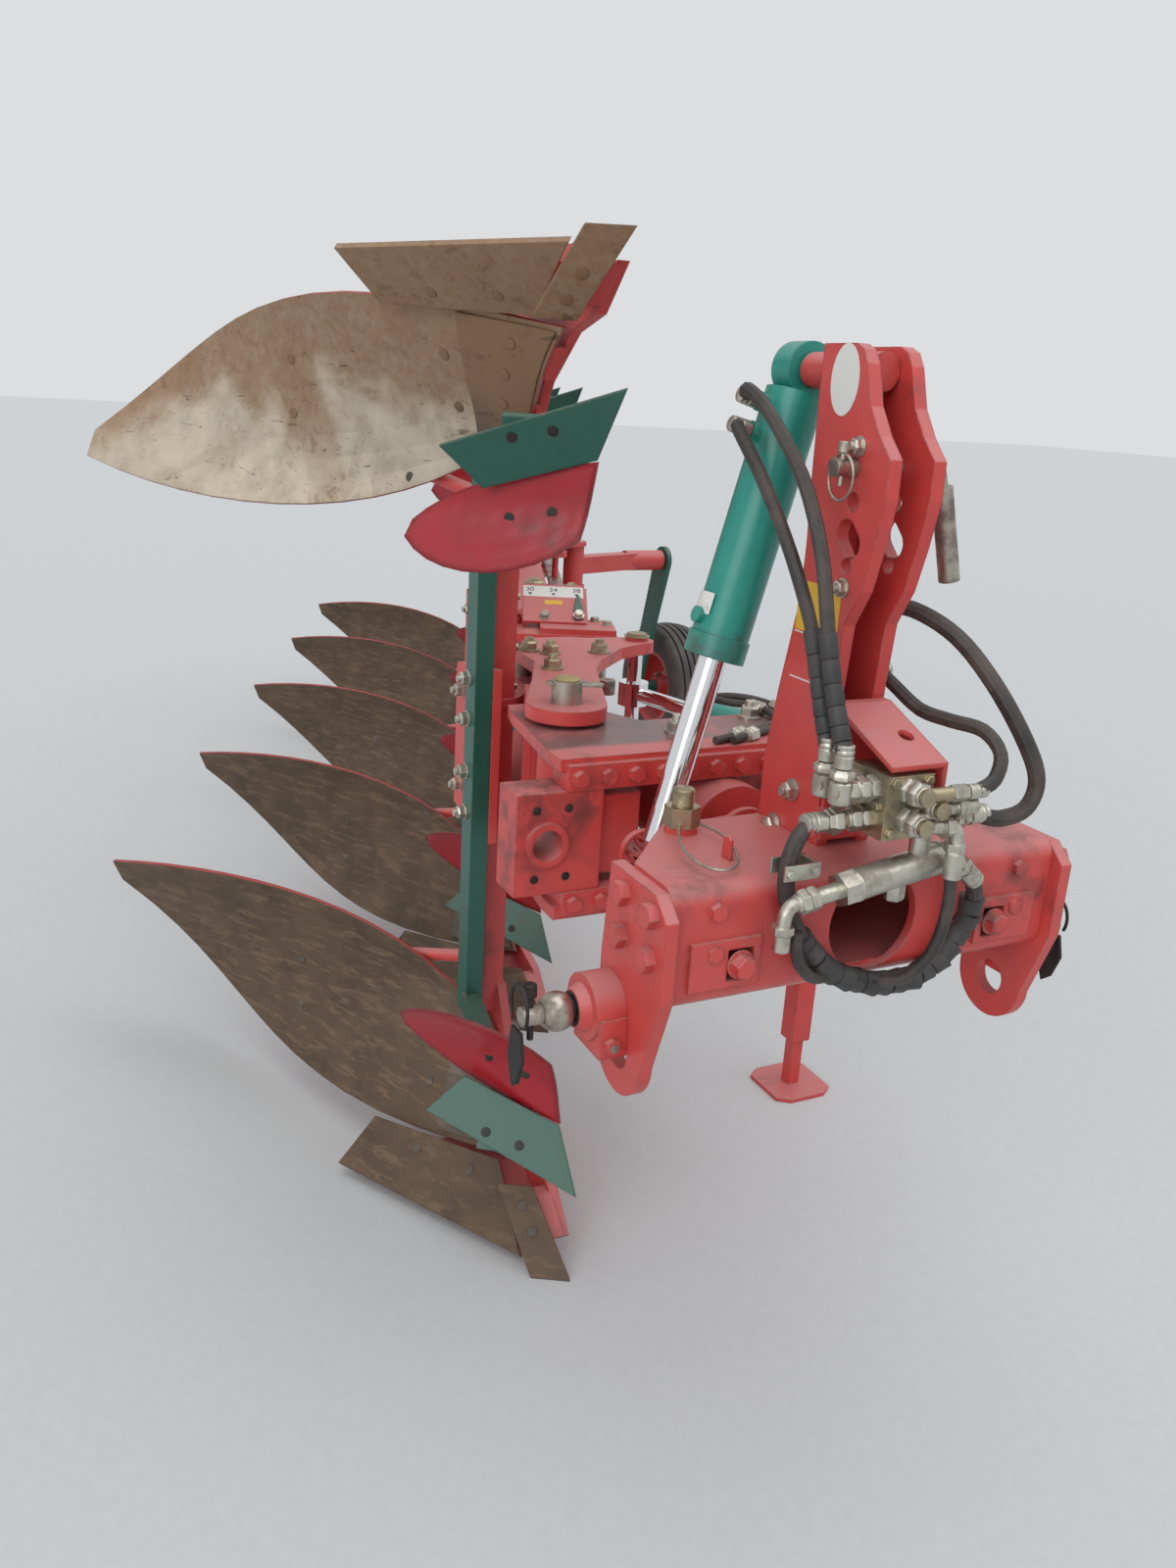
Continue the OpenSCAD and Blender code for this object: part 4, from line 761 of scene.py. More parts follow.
class PLOUGH_OT_headstock_fasteners(bpy.types.Operator):
    """Bolts, lynch pins, lock rings and threads on the headstock"""

    bl_idname = "plough.headstock_fasteners"
    bl_label = "Headstock fasteners"

    def execute(self, context):
        places = [(mm(x, s * MAST_SIDE, z), s * Y) for s in (-1, 1) for x, z in ((-49, 149), (-86, 83))]
        places += [(mm(12, -MAST_SIDE, z), -Y, 0.8) for z in (455, 640)]
        fasten(
            "mast_bolts", places, "headstock", "bright_zinc", "zinc",
            head=(0.024, 0.013), washer=(0.034, 0.003), stud=(0.016, 0.006),
        )
        pocket = [(Vector((0.116, s * 0.222, AXIS_H - 0.029)), X) for s in (1, -1)]
        size = dict(head=(0.03, 0.016), washer=(0.042, 0.003))
        fasten("front_bolts", pocket, "headstock", "red_paint", "red_paint", **size)
        foot = [(Vector((0.061, s * 0.374, -0.037)), X) for s in (1, -1)]
        fasten("clamp_studs", foot, "headstock", "bare_steel", "bare_steel", head=(0.012, 0.003), sides=12)
        for side, s in (("left", 1), ("right", -1)):
            self.lynch_pin(side, s)
            seal = Shape()
            profile = [(0, 0.026), (0.002, 0.0275), (0.007, 0.0275), (0.0105, 0.024)]
            seal.lathe(Vector((0, s * (BALL_Y - 0.033), 0)), s * Y, profile, 32)
            seal.piece(f"ball_seal_{side}", "black_iron", "headstock")
            self.stop_thread(side, s)
        self.stop_bail()
        ring = Shape()
        centre = mm(8, -68, 600)
        arc = [math.radians(a) for a in range(0, 360, 12)]
        hoop = [centre + Vector((0.026 * math.cos(a), 0, 0.03 * math.sin(a))) for a in arc]
        ring.sweep(hoop, 0.004, 8, True)
        for low, d, sides, chamfer in ((-0.012, 0.008, 12, 0.001), (0.03, 0.016, 16, 0.002)):
            ring.rod(centre + low * Z, centre + 0.046 * Z, d, sides, chamfer)
        ring.piece("top_lynch_ring", "bare_steel", "headstock")
        return {"FINISHED"}

    def lynch_pin(self, side, s):
        """Pin across the end of a lower-link pin, with its head, ring and flap."""
        cotter = Shape()
        pin = Vector((0, s * (BALL_Y + 0.039), 0))
        cotter.rod(pin + Vector((0.004, 0, -0.034)), pin + Vector((-0.002, 0, 0.036)), 0.0095, 12, 0.001)
        cotter.rod(pin + Vector((-0.003, 0, 0.026)), pin + Vector((-0.005, 0, 0.046)), 0.02, 16, 0.002)
        arc = [math.radians(a) for a in range(-30, 215, 10)]
        ring = [Vector((0.028 * math.cos(a) - 0.004, s * 0.014, 0.012 + 0.034 * math.sin(a))) for a in arc]
        cotter.sweep([pin + p for p in ring], 0.0055, 8)
        flap = [(-0.016, -0.01), (0.016, -0.008), (0.026, -0.045), (0.012, -0.085), (-0.006, -0.1)]
        flap.append((-0.024, -0.06))
        cotter.plate(flap, pin + Vector((0, s * 0.016, -0.008)), X, Z, 0.005, 0.001)
        cotter.piece(f"lynch_pin_{side}", "black_iron", "headstock")

    def stop_thread(self, side, s):
        """Thread of a stop screw above its nut."""
        thread = Shape()
        profile = [(0.041, 0.0148)]
        for i in range(11):
            h = 0.042 + i * 0.0021
            profile += [(h, 0.0152), (h + 0.001, 0.0164)]
        profile += [(0.0655, 0.0152), (0.0668, 0.0135)]
        thread.lathe(mm(-93, s * 205, BOX_TOP), Z, profile, 32)
        thread.piece(f"stop_thread_{side}", "yellow_zinc", "headstock", 70)

    def stop_bail(self):
        """Wire that holds the right stop screw's nut, and the tab that it hooks on."""
        bail = Shape()
        loop = [(-112, -184), (-60, -228), (-6, -254), (44, -264), (76, -258), (88, -240), (74, -214)]
        loop += [(30, -190), (-30, -176), (-74, -184)]
        bail.sweep(smooth_route([mm(x, y, BOX_TOP + 16 - 0.02 * (x + 93)) for x, y in loop], 5), 0.0045, 8)
        bail.piece("stop_bail", "bare_steel", "headstock")
        tab = Shape()
        outline = [(-0.011, 0), (0.011, 0), (0.009, 0.03), (0.003, 0.034), (-0.009, 0.03)]
        tab.plate(outline, mm(24, -196, BOX_TOP), X, Z, 0.005, 0.001)
        tab.piece("bail_tab", "red_paint", "headstock")


class PLOUGH_OT_labels(bpy.types.Operator):
    """Blank foils on the mast and the cylinder, and the width scale with plain numbers"""

    bl_idname = "plough.labels"
    bl_label = "Labels"

    def execute(self, context):
        face = -MAST_SIDE - 0.1
        turns = [2 * math.pi * i / 48 for i in range(48)]
        oval = [(0.03 * math.cos(t), 0.046 * math.sin(t)) for t in turns]
        foil("oval_foil", "white_foil", "headstock", [(oval, mm(-36, face, 722), X, Z)])
        square = rectangle(-0.052, 0.045, -0.034, 0.036)
        foil("yellow_foil", "yellow_foil", "headstock", [(square, mm(-34, face, 416), X, Z)])
        line = rectangle(-0.05, 0.047, 0, 0.002)
        foil("foil_lines", "white_foil", "headstock", [(line, mm(-37, face, z), X, Z) for z in (378, 312)])
        self.width_scale()
        barrel = Shape()
        arc = [math.radians(t) for t in range(-42, 25, 6)]
        outs = [math.cos(a) * ROD_OUT + math.sin(a) * X for a in arc]
        ends = [PIVOT + h * ROD_DOWN for h in (0.34, 0.372)]
        barrel.shell(*([[end + r * out for out in outs] for end in ends] for r in (0.0472, 0.0476)))
        barrel.piece("barrel_foil", "white_foil", "turnover_barrel")
        return {"FINISHED"}

    def width_scale(self):
        """Numbered foil on the sloping scale plate, its pointer and bolts."""
        slope = math.atan2(71, 120)
        u = at_beam(0, 0, 0) - at_beam(0, 1, 0)
        v = Vector((-math.cos(SWEEP) * math.cos(slope), math.sin(SWEEP) * math.cos(slope), math.sin(slope)))
        n = u.cross(v)
        centre = at_beam(FIRST_BODY + 0.223, -0.019, 0.2138)
        spacing = 0.057
        steps = (-1, 0, 1)
        foil("scale_foil", "white_foil", "beam", [(rectangle(-0.074, 0.074, -0.02, 0.02), centre, u, v)])
        spot = rectangle(-0.022, 0.022, -0.008, 0.008)
        foil("small_foil", "yellow_foil", "beam", [(spot, centre - 0.04 * v, u, v)])
        letters = bmesh.new()
        turn = Matrix((u, v, n)).transposed().to_4x4()
        for i, text in zip(steps, ("30", "34", "38")):
            curve = bpy.data.curves.new(f"number_{text}", "FONT")
            curve.body = text
            curve.size = 0.021
            curve.extrude = 0.0002
            curve.align_x = "CENTER"
            letter = bpy.data.objects.new(f"number_{text}", curve)
            bpy.context.scene.collection.objects.link(letter)
            made = letter.evaluated_get(bpy.context.evaluated_depsgraph_get())
            mesh = bpy.data.meshes.new_from_object(made)
            bpy.data.objects.remove(letter)
            mesh.transform(Matrix.Translation(centre + spacing * i * u + 0.0007 * n) @ turn)
            letters.from_mesh(mesh)
        mesh = bpy.data.meshes.new("scale_numbers")
        letters.to_mesh(mesh)
        letters.free()
        settle("scale_numbers", mesh, "black_print", "beam")
        mark = [(0, 0), (0.005, 0.009), (-0.005, 0.009)]
        tips = [centre + spacing * i * u - 0.015 * v + 0.0006 * n for i in steps]
        foil("scale_marks", "black_print", "beam", [(mark, tip, u, v) for tip in tips], 0.0004)
        pointer = Shape()
        tip = centre + 0.06 * u - 0.014 * v + 0.001 * n
        arrow = [(-0.003, 0), (0.003, 0), (0.011, -0.048)]
        arrow += [(0.011, -0.088), (-0.011, -0.088), (-0.011, -0.048)]
        pointer.plate(arrow, tip, u, v, 0.005, 0.001)
        pointer.piece("scale_pointer", "green_paint", "beam")
        feet = [(tip - 0.077 * v + 0.005 * n, n), (tip - 0.077 * v - 0.082 * u - 0.001 * n, n)]
        feet += [(at_beam(FIRST_BODY + s, m, 0.152), Z) for s, m in ((0.185, -0.122), (0.14, -0.148))]
        fasten("scale_bolts", feet, "beam", "bright_zinc", "zinc", head=(0.02, 0.009), washer=(0.028, 0.002))
        stop = [(at_beam(FIRST_BODY + 0.2, 0.066, 0.138), Z)]
        size = dict(head=(0.026, 0.015), stud=(0.014, 0.008))
        fasten("scale_stop", stop, "beam", "skimmer_red", "red_paint", **size)


class PLOUGH_OT_hoses(bpy.types.Operator):
    """Ferrules, nuts, elbows, clamp, sleeves and spiral wrap of the hoses"""

    bl_idname = "plough.hoses"
    bl_label = "Hose fittings"

    def execute(self, context):
        loop = route(
            [(130, -122.3, 168), (130, -136, 168), (129, -160, 150), (127, -171, 104), (125, -161, 50),
             (125, -134, 0), (125, -88, -50), (125, -30, -80), (125, 35, -94), (126, 92, -84),
             (128, 132, -50), (134, 150, -6), (146, 146, 40), (160, 118.5, 74.1), (160, 104.6, 85.6)],
            4,
        )
        tops = [PIVOT + 0.058 * ROD_OUT + h * ROD_DOWN for h in (0.062, 0.104)]
        front = [tops[0], tops[0] + 0.02 * ROD_OUT] + mms(
            (-172, -110, 704), (-133, -112, 690), (-93, -112, 664), (-23, -110, 602), (22, -110, 542),
            (52, -110, 481), (75, -110, 407), (98, -110, 344), (122, -110, 294), (140, -110, 260),
            (140, -110, 242.3),
        )
        rear = [tops[1], tops[1] + 0.02 * ROD_OUT] + mms(
            (-180, -114, 651), (-150, -113, 624), (-118, -111, 594), (-61, -110, 535), (-10, -110, 476),
            (40, -110, 405), (66, -110, 345), (86, -110, 297), (104, -110, 260), (104, -110, 242.3),
        )
        ends = []
        for path, d in ((loop, 24), (front, 20), (rear, 20)):
            ends += [(path[0], path[1] - path[0], d), (path[-1], path[-2] - path[-1], d)]
        arc_ends = ((150, 104, 162), (200, 48, 216), (-40, 47, 420), (-24, 47, 330))
        ends += [(mm(*place), Y, d) for place, d in zip(arc_ends, (24, 16, 24, 20))]
        fit = Shape()
        for point, toward, d in ends:
            fit.ferrule(point, toward.normalized(), d / 1000)
        fit.piece("hose_ferrules", "bright_zinc", "headstock")

        self.block_fittings()
        self.thin_hoses()
        self.block_plugs()
        self.pilot_caps()
        self.loop_wrap(loop)
        self.sleeves(front, rear)
        self.clamp()
        return {"FINISHED"}

    def block_fittings(self):
        """Union nuts and elbows of the valve block."""
        ports = Shape()
        for y, z in ((-20, 174), (-24, 216), (4, 196)):
            ports.nuts(mm(BLOCK_FRONT, y, z), X, 0.024, (0, 19))
        for x, z in ((130, 168), (104, 212), (140, 212)):
            ports.nuts(mm(x, BLOCK_SIDE, z), -Y, 0.024, (0, 17))
        ports.nuts(mm(130, BLOCK_SIDE, 168), -Y, 0.026, (46,))
        barrel = [(0, 0.012), (0.003, 0.0155), (0.03, 0.0155), (0.033, 0.012)]
        for x in (104, 140):
            ports.lathe(mm(x, -110, 194), Z, barrel, 20)
            ports.hexagon(mm(x, -110, 229), Z, 0.029, 0.011)
            ports.hexagon(mm(x, -91, 212), -Y, 0.029, 0.012)
        ports.nuts(mm(150, 20, 162), Y, 0.025, (0, 24, 56))
        ports.hexagon(mm(200, 22, 216), Y, 0.0205, 0.016)
        for elbow in (
            ((174, -20, 174), (184, -18, 173), (192, -8, 171), (195, 8, 169), (195, 24, 168)),
            ((174, 4, 196), (183, 6, 195), (191, 14, 194), (193, 28, 193), (193, 42, 193)),
        ):
            bend = mms(*elbow)
            ports.sweep(smooth_route(bend, 4), 0.019, 14)
            ports.hexagon(bend[-1] - 0.004 * Y, Y, 0.029, 0.015)
        ports.lathe(mm(193, 52, 193), Y, [(0, 0.0095), (0.001, 0.012), (0.02, 0.012), (0.022, 0.009)], 20)
        ports.rod(mm(195, 26, 168), mm(195, 34, 168), 0.022, 20)
        drop = mms((195, 34, 168), (196, 42, 164), (198, 46, 154), (199, 46, 142))
        ports.sweep(smooth_route(drop, 4), 0.019, 14)
        ports.hexagon(mm(196, 46, 144), -Z, 0.025, 0.014)
        end = [(0, 0.0095), (0.001, 0.0125), (0.036, 0.0125), (0.038, 0.0095)]
        ports.lathe(mm(199, 46, 131), -Z, end, 20)
        ports.piece("block_fittings", "bright_zinc", "headstock")

    def thin_hoses(self):
        """The two thin hoses that go down from the block and the pilot valve."""
        down = Shape()
        for way in (
            ((199, 46, 95), (200, 47, 60), (199, 44, 20), (193, 34, -22), (176, 14, -58), (150, -6, -74)),
            ((158, -166, 28), (157, -165, 8), (152, -152, -24), (140, -120, -54), (132, -92, -62)),
        ):
            down.sweep(smooth_route(mms(*way), 5), 0.017, 12)
        down.piece("thin_hoses", "hose", "headstock")

    def block_plugs(self):
        """Screw plugs in the unused ports of the valve block."""
        plugs = [(mm(BLOCK_FRONT, y, z), X) for y, z in ((-46, 226), (10, 226), (-44, 156), (12, 158))]
        plugs += [(mm(x, BLOCK_SIDE, z), -Y) for x, z in ((112, 186), (152, 190), (100, 158))]
        size = dict(head=(0.013, 0.005), washer=(0.016, 0.001))
        fasten("block_plugs", plugs, "headstock", "yellow_zinc", "zinc", **size)

    def pilot_caps(self):
        """Nuts, elbow, caps and plug of the pilot valve."""
        tilt = math.radians(9.5)
        axis = Vector((0, math.cos(tilt), math.sin(tilt)))
        pilot = mm(160, -88, 84)
        caps = Shape()
        caps.nuts(pilot - 0.058 * axis, -axis, 0.022, (0, 14))
        start = pilot - 0.086 * axis
        turns = ((0, 0), (0.008, 0), (0.016, 0.008), (0.019, 0.024), (0.019, 0.038))
        bend = [start - out * axis - down * Z for out, down in turns]
        caps.sweep(smooth_route(bend, 4), 0.02, 14)
        caps.hexagon(bend[-1] + 0.012 * Z, -Z, 0.026, 0.012)
        caps.lathe(bend[-1], -Z, [(0, 0.01), (0.001, 0.0118), (0.022, 0.0118), (0.024, 0.009)], 20)
        for at, profile in (
            (0.001, [(0, 0.0222), (0.002, 0.0232), (0.006, 0.0232), (0.008, 0.0222)]),
            (0.143, [(0, 0.0222), (0.001, 0.0232), (0.008, 0.0232), (0.0095, 0.0215)]),
        ):
            caps.lathe(pilot + at * axis, axis, profile, 32)
        caps.hexagon(pilot + 0.074 * axis - 0.018 * Z, -Z, 0.026, 0.022)
        caps.piece("pilot_caps", "bright_zinc", "headstock")

    def loop_wrap(self, loop):
        """Turns of spiral wrap along the middle of the hose loop."""
        wrap = Shape()
        turns = smooth_route(loop, 3)
        length, marks = 0.0, []
        for a, b in zip(turns, turns[1:]):
            marks.append((length, a, (b - a).normalized()))
            length += (b - a).length
        coil = [(0, 0.0155), (0.0005, 0.0168), (0.012, 0.0172)]
        coil += [(0.0228, 0.0186), (0.0235, 0.0166), (0.0225, 0.0148)]
        at, stop = 0.2, 0.62 * length + 0.17
        while at < stop:
            point, toward = next((p, t) for s, p, t in reversed(marks) if s <= at)
            wrap.lathe(point, (toward + 0.16 * math.sin(at * 150) * X).normalized(), coil, 20)
            at += sizes().wrap
        wrap.piece("loop_wrap", "wrap", "headstock", 50)

    def sleeves(self, front, rear):
        """Ribbed sleeves on the lower ends of the cylinder's hoses."""
        sleeve = Shape()
        for path in (front, rear):
            part = [p for p in smooth_route(path, 6) if AXIS_H + 0.262 < p.z < AXIS_H + 0.415]
            for i, p in enumerate(part[:-1:3]):
                step = part[min(3 * i + 3, len(part) - 1)] - p
                h = step.length
                rib = [(0, 0.0114), (0.0004, 0.0122), (0.9 * h, 0.0126), (0.96 * h, 0.0114)]
                sleeve.lathe(p, step, rib, 20)
        sleeve.piece("hose_sleeves", "wrap", "headstock", 50)

    def clamp(self):
        """Clamp that holds the loop to the box, and the tie above it."""
        clamp = Shape()
        hold = Vector((0.1265, -0.170, AXIS_H + 0.106))
        for x in (0.015, -0.0185):
            side = rectangle(-0.028, 0.028, -0.011, 0.011)
            clamp.plate(side, hold + Vector((x, 0.012, 0)), Y, Z, 0.004, 0.0008)
        clamp.plate(rectangle(-0.0185, 0.015, -0.011, 0.011), hold + 0.036 * Y, X, Z, 0.004)
        clamp.piece("hose_clamp", "bright_zinc", "headstock")
        grip = [(hold + Vector((0.019, 0.01 + s * 0.02, 0)), X) for s in (-1, 1)]
        fasten("clamp_bolts", grip, "headstock", "bright_zinc", "zinc", head=(0.011, 0.006))
        tie = Shape()
        band = [(0, 0.0125), (0.0002, 0.0141), (0.0048, 0.0141), (0.005, 0.0125)]
        for y, z in ((-152, 160), (-134, 168)):
            tie.lathe(mm(130, y, z), Y, band, 24)
        tie.piece("red_tie", "red_tie", "headstock")


class PLOUGH_OT_frame_fasteners(bpy.types.Operator):
    """Bolts, pin locks, grease and pipes on the turning frame, and the nuts of the beam"""

    bl_idname = "plough.frame_fasteners"
    bl_label = "Frame fasteners"

    def execute(self, context):
        big = both([(mm(x, y, 137), Z) for x, y in ((-412, -36), (-470, 150), (-360, 250))])
        fasten(
            "rail_top_bolts", big, "turning_frame", "bright_zinc", "zinc",
            head=(sizes().bolt, 0.018), washer=(0.042, 0.004), stud=(0.02, 0.01),
        )
        holes = [(mm(-304, -322 + y, z), X) for y in (-18, 37) for z in (-58, 58)]
        size = dict(head=(0.0135, 0.001), sides=12)
        fasten("carriage_screws", holes, "turning_frame", "black_iron", "bare_steel", **size)
        lock = Shape()
        tab = [(-0.035, -0.011), (0.058, -0.011), (0.064, 0), (0.058, 0.011), (-0.035, 0.011)]
        for s in (1, -1):
            pin = HEAD + s * (HEAD_TOP + 0.03) * Z
            lock.plate(tab, pin, Vector((0.35, 0.94, 0)), Vector((-0.94, 0.35, 0)), 0.006, 0.001)
        lock.piece("head_pin_lock", "bare_steel", "turning_frame")
        dab = Shape()
        ring = [(0, 0.0225), (0.002, 0.023), (0.0045, 0.019), (0.006, 0.012), (0.003, 0.009), (0.0028, 0.001)]
        dab.lathe(HEAD + (HEAD_TOP + 0.0402) * Z, Z, ring, 24)
        dab.piece("head_pin_grease", "grease", "turning_frame")
        self.rail_pipes()
        self.head_fasteners()
        return {"FINISHED"}

    def rail_pipes(self):
        """The two pipes that lie on the rail, and their unions."""
        pipes = Shape()
        for way in (
            ((-600, 160, 144), (-576, 174, 150), (-540, 200, 152), (-489, 216, 150), (-430, 205, 146),
             (-380, 150, 144), (-344, 78, 146), (-318, 20, 145)),
            ((-585, 135, 146), (-540, 150, 148), (-500, 176, 150), (-450, 184, 148), (-400, 160, 146),
             (-350, 60, 145), (-326, -10, 144)),
        ):
            pipes.sweep(smooth_route(mms(*way), 5), 0.014, 10)
        pipes.piece("rail_pipes", "hose", "turning_frame")
        joints = Shape()
        for place, toward in (
            ((-489, 216, 150), (1, -0.15, 0)),
            ((-500, 176, 150), (1, 0.2, 0)),
            ((-344, 78, 146), (0.5, -0.9, 0)),
            ((-350, 60, 145), (0.3, -0.95, 0)),
        ):
            joints.nuts(mm(*place), Vector(toward).normalized(), 0.016, (0, 14))
        joints.piece("rail_joints", "bright_zinc", "turning_frame")

    def head_fasteners(self):
        """Nuts, spacers and caps on the head plates, and the nuts of the leg pivots."""
        spots = ((0.432, 0.053), (0.407, 0.01), (0.266, 0.012), (0.439, -0.093))
        nuts = [(at_beam(s, n, HEAD_TOP), Z) for s, n in spots]
        fasten(
            "head_bolts", both(nuts), "beam", "yellow_zinc", "zinc",
            head=(0.03, 0.017), washer=(0.044, 0.004), stud=(0.02, 0.008),
        )
        sleeves = Shape()
        for s, n in ((0.432, 0.062), (0.439, -0.093), (0.3, -0.1)):
            for sign in (1, -1):
                sleeves.rod(at_beam(s, n, sign * 0.1448), at_beam(s, n, sign * 0.116), 0.034, 24)
        sleeves.piece("head_sleeves", "bare_steel", "beam")
        caps = both([(at_beam(0.595, -0.19, HEAD_TOP + 0.008), Z)])
        size = dict(head=(0.044, 0.006), washer=(0.056, 0.003), sides=24)
        fasten("memory_caps", caps, "beam", "yellow_zinc", "zinc", **size)
        pins = both([(at_beam(FIRST_BODY, 0, 0.108), Z), (at_beam(FIRST_BODY, -0.112, 0.108), Z, 0.7)])
        for k in BODIES:
            fasten(
                f"pivot_nuts_{k + 1}", moved(pins, k), f"body_{k + 1}", "yellow_zinc", "zinc",
                head=(0.055, 0.02), washer=(0.072, 0.005), stud=(0.034, 0.008),
            )
        side = at_beam(0, -1, 0) - HEAD
        web = [(at_beam(s, -0.0663, z), side) for s in (0.26, 0.4, 0.53) for z in (-0.05, 0.05)]
        fasten("web_bolts", web, "beam", "red_paint", "red_paint", head=(0.03, 0.016), washer=(0.04, 0.003))


class PLOUGH_OT_bodies(bpy.types.Operator):
    """Shin plates, plough bolts and leg bolts of the five bodies"""

    bl_idname = "plough.bodies"
    bl_label = "Bodies"

    def execute(self, context):
        dots, studs = both(self.board_bolts() + self.share_bolts()), both(self.skimmer_bolts())
        stalk = [(Vector((-0.8, -0.2733, AXIS_H + z)), -Y) for z in (0.155, 0.075, -0.03, -0.115)]
        stalk += [(Vector((-0.93, -0.237, AXIS_H + z)), -Y) for z in (-0.1, 0.1)]
        nuts = [(Vector((-0.855, -0.175, AXIS_H + z)), Y) for z in (-0.12, -0.2, -0.3)]
        spots = ((-0.84, 0.6), (-0.74, 0.72), (-0.66, 0.8), (-0.8, 0.84))
        frog = [(Vector((x, -0.168, AXIS_H - z)), Y) for x, z in spots]
        nuts = both(nuts) + both(frog)
        for k in BODIES:
            body = f"body_{k + 1}"
            for name, places, finish, slot, look in (
                ("plough_bolts", dots, "shin_steel", "worn_steel", dict(head=(0.021, 0.0012), sides=16)),
                ("skimmer_bolts", studs, "black_iron", "bare_steel", dict(head=(0.018, 0.001), sides=16)),
                ("stalk_bolts", stalk, "bright_zinc", "zinc", dict(head=(0.024, 0.014), **LEG_WASHER)),
                ("leg_nuts", nuts, "yellow_zinc", "zinc", dict(head=(0.024, 0.013), **LEG_WASHER)),
            ):
                fasten(f"{name}_{k + 1}", moved(places, k), body, finish, slot, **look)
            self.shin_plates(k, body)
        return {"FINISHED"}

    def board_bolts(self):
        """Countersunk bolts in the shin plate and the mouldboard."""
        dots = []
        for u, v in (
            (0.045, 0.14), (0.05, 0.33), (0.055, 0.55), (0.05, 0.78), (0.14, 0.55), (0.14, 0.25),
            (0.17, 0.82), (0.27, 0.93), (0.5, 0.5), (0.46, 0.25),
        ):
            n = board_normal(u, v)
            lift = 0.003 if u < SHIN_EDGE else 0.0004
            dots.append((board_point(u, v) - lift * n, -n))
        return dots

    def share_bolts(self):
        """Bolts in the share, laid on its plane, and in the middle of the point."""
        dots = []
        low_a, low_b, top_a, top_b = mms(
            (-440, -272, -897), (-846, -518, -892), (-612, -250, -800), (-880, -418, -830)
        )
        n = (low_b - low_a).cross(top_a - low_a).normalized()
        for u, v in ((0.24, 0.74), (0.62, 0.74)):
            p = (1 - v) * ((1 - u) * low_a + u * low_b) + v * ((1 - u) * top_a + u * top_b)
            dots.append((p - (p - low_a).dot(n) * n, -n))
        low_a, low_b, top_a, top_b = mms(
            (-363, -199, -920), (-400, -265, -920), (-498, -225, -792), (-532, -286, -792)
        )
        n = (low_b - low_a).cross(top_a - low_a).normalized()
        return dots + [((1 - v) * (low_a + low_b) / 2 + v * (top_a + top_b) / 2, -n) for v in (0.5, 0.78)]

    def skimmer_bolts(self):
        """Bolts in the skimmer's board and in its share; curl is how far the board has bent back there."""
        studs = []
        skim = mm(-388, -227, -588)
        for turn, tilt, spots in (
            (39, 0, ((-0.075, 0.085, 0.0019), (-0.15, 0.1, 0.0048))),
            (54.8, 27.9, ((-0.07, -0.045, 0), (-0.135, -0.03, 0))),
        ):
            m = Matrix.Rotation(math.radians(turn), 3, "Z") @ Matrix.Rotation(math.radians(-tilt), 3, "X")
            studs += [(skim + m @ Vector((a, -0.0003 - curl, b)), m @ -Y) for a, b, curl in spots]
        return studs

    def shin_plates(self, k, body):
        """Thin plates over the leading edges of one body's mouldboards."""
        us = [0.004 + 0.018 * i for i in range(7)]
        vs = [0.03 + 0.96 * j / 14 for j in range(15)]
        shin = Shape()
        for twin in (Vector.copy, above):
            front, back = (
                [[twin(board_point(u, v) - lift * board_normal(u, v)) + k * STEP for u in us] for v in vs]
                for lift in (0.0028, 0.0003)
            )
            shin.shell(front, back)
        shin.piece(f"shin_plates_{k + 1}", "shin_steel", body)


class PLOUGH_OT_wheel(bpy.types.Operator):
    """Ribbed tyre, nuts and hub cap of the depth wheel"""

    bl_idname = "plough.wheel"
    bl_label = "Wheel"

    def execute(self, context):
        tyre = Shape()
        side = [(0.0648, 0.1593), (0.0713, 0.1733), (0.0795, 0.1733), (0.088, 0.185), (0.0955, 0.212)]
        side += [(0.0975, 0.24), (0.095, 0.262), (0.088, 0.277)]
        ribs = [(0.079, 0.2865), (0.066, 0.2905), (0.0655, 0.281), (0.058, 0.281), (0.0575, 0.293)]
        ribs += [(0.034, 0.2965), (0.0335, 0.286), (0.026, 0.286), (0.0255, 0.298)]
        ribs += [(0.006, 0.3), (0.0055, 0.289)]
        half = side + ribs
        profile = [(-y, r) for y, r in half] + half[::-1]
        rings = []
        for i in range(sizes().turns):
            a = 2 * math.pi * i / sizes().turns
            out = Vector((math.cos(a), 0, math.sin(a)))
            rings.append([tyre.bm.verts.new(WHEEL + y * Y + r * out) for y, r in profile])
        tyre.skin(rings, closed=True)
        obj = tyre.piece("ribbed_tyre", "tyre", "wheel", 35)
        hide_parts("wheel_tyre")
        spokes = [Vector((math.cos(a), 0, math.sin(a))) for a in (2 * math.pi * i / 5 for i in range(5))]
        nuts = [(WHEEL + s * 0.006 * Y + 0.075 * spoke, s * Y) for s in (1, -1) for spoke in spokes]
        fasten(
            "wheel_nuts", nuts, "wheel", "bright_zinc", "zinc",
            head=(0.021, 0.014), washer=(0.028, 0.003), stud=(0.014, 0.008),
        )
        hub = Shape()
        cap = [(0, 0.044), (0.004, 0.044), (0.006, 0.036), (0.0195, 0.033), (0.024, 0.024), (0.0245, 0.001)]
        hub.lathe(WHEEL + 0.06 * Y, Y, cap, 32)
        hub.piece("hub_cap", "bare_steel", "wheel")
        return {"FINISHED"}


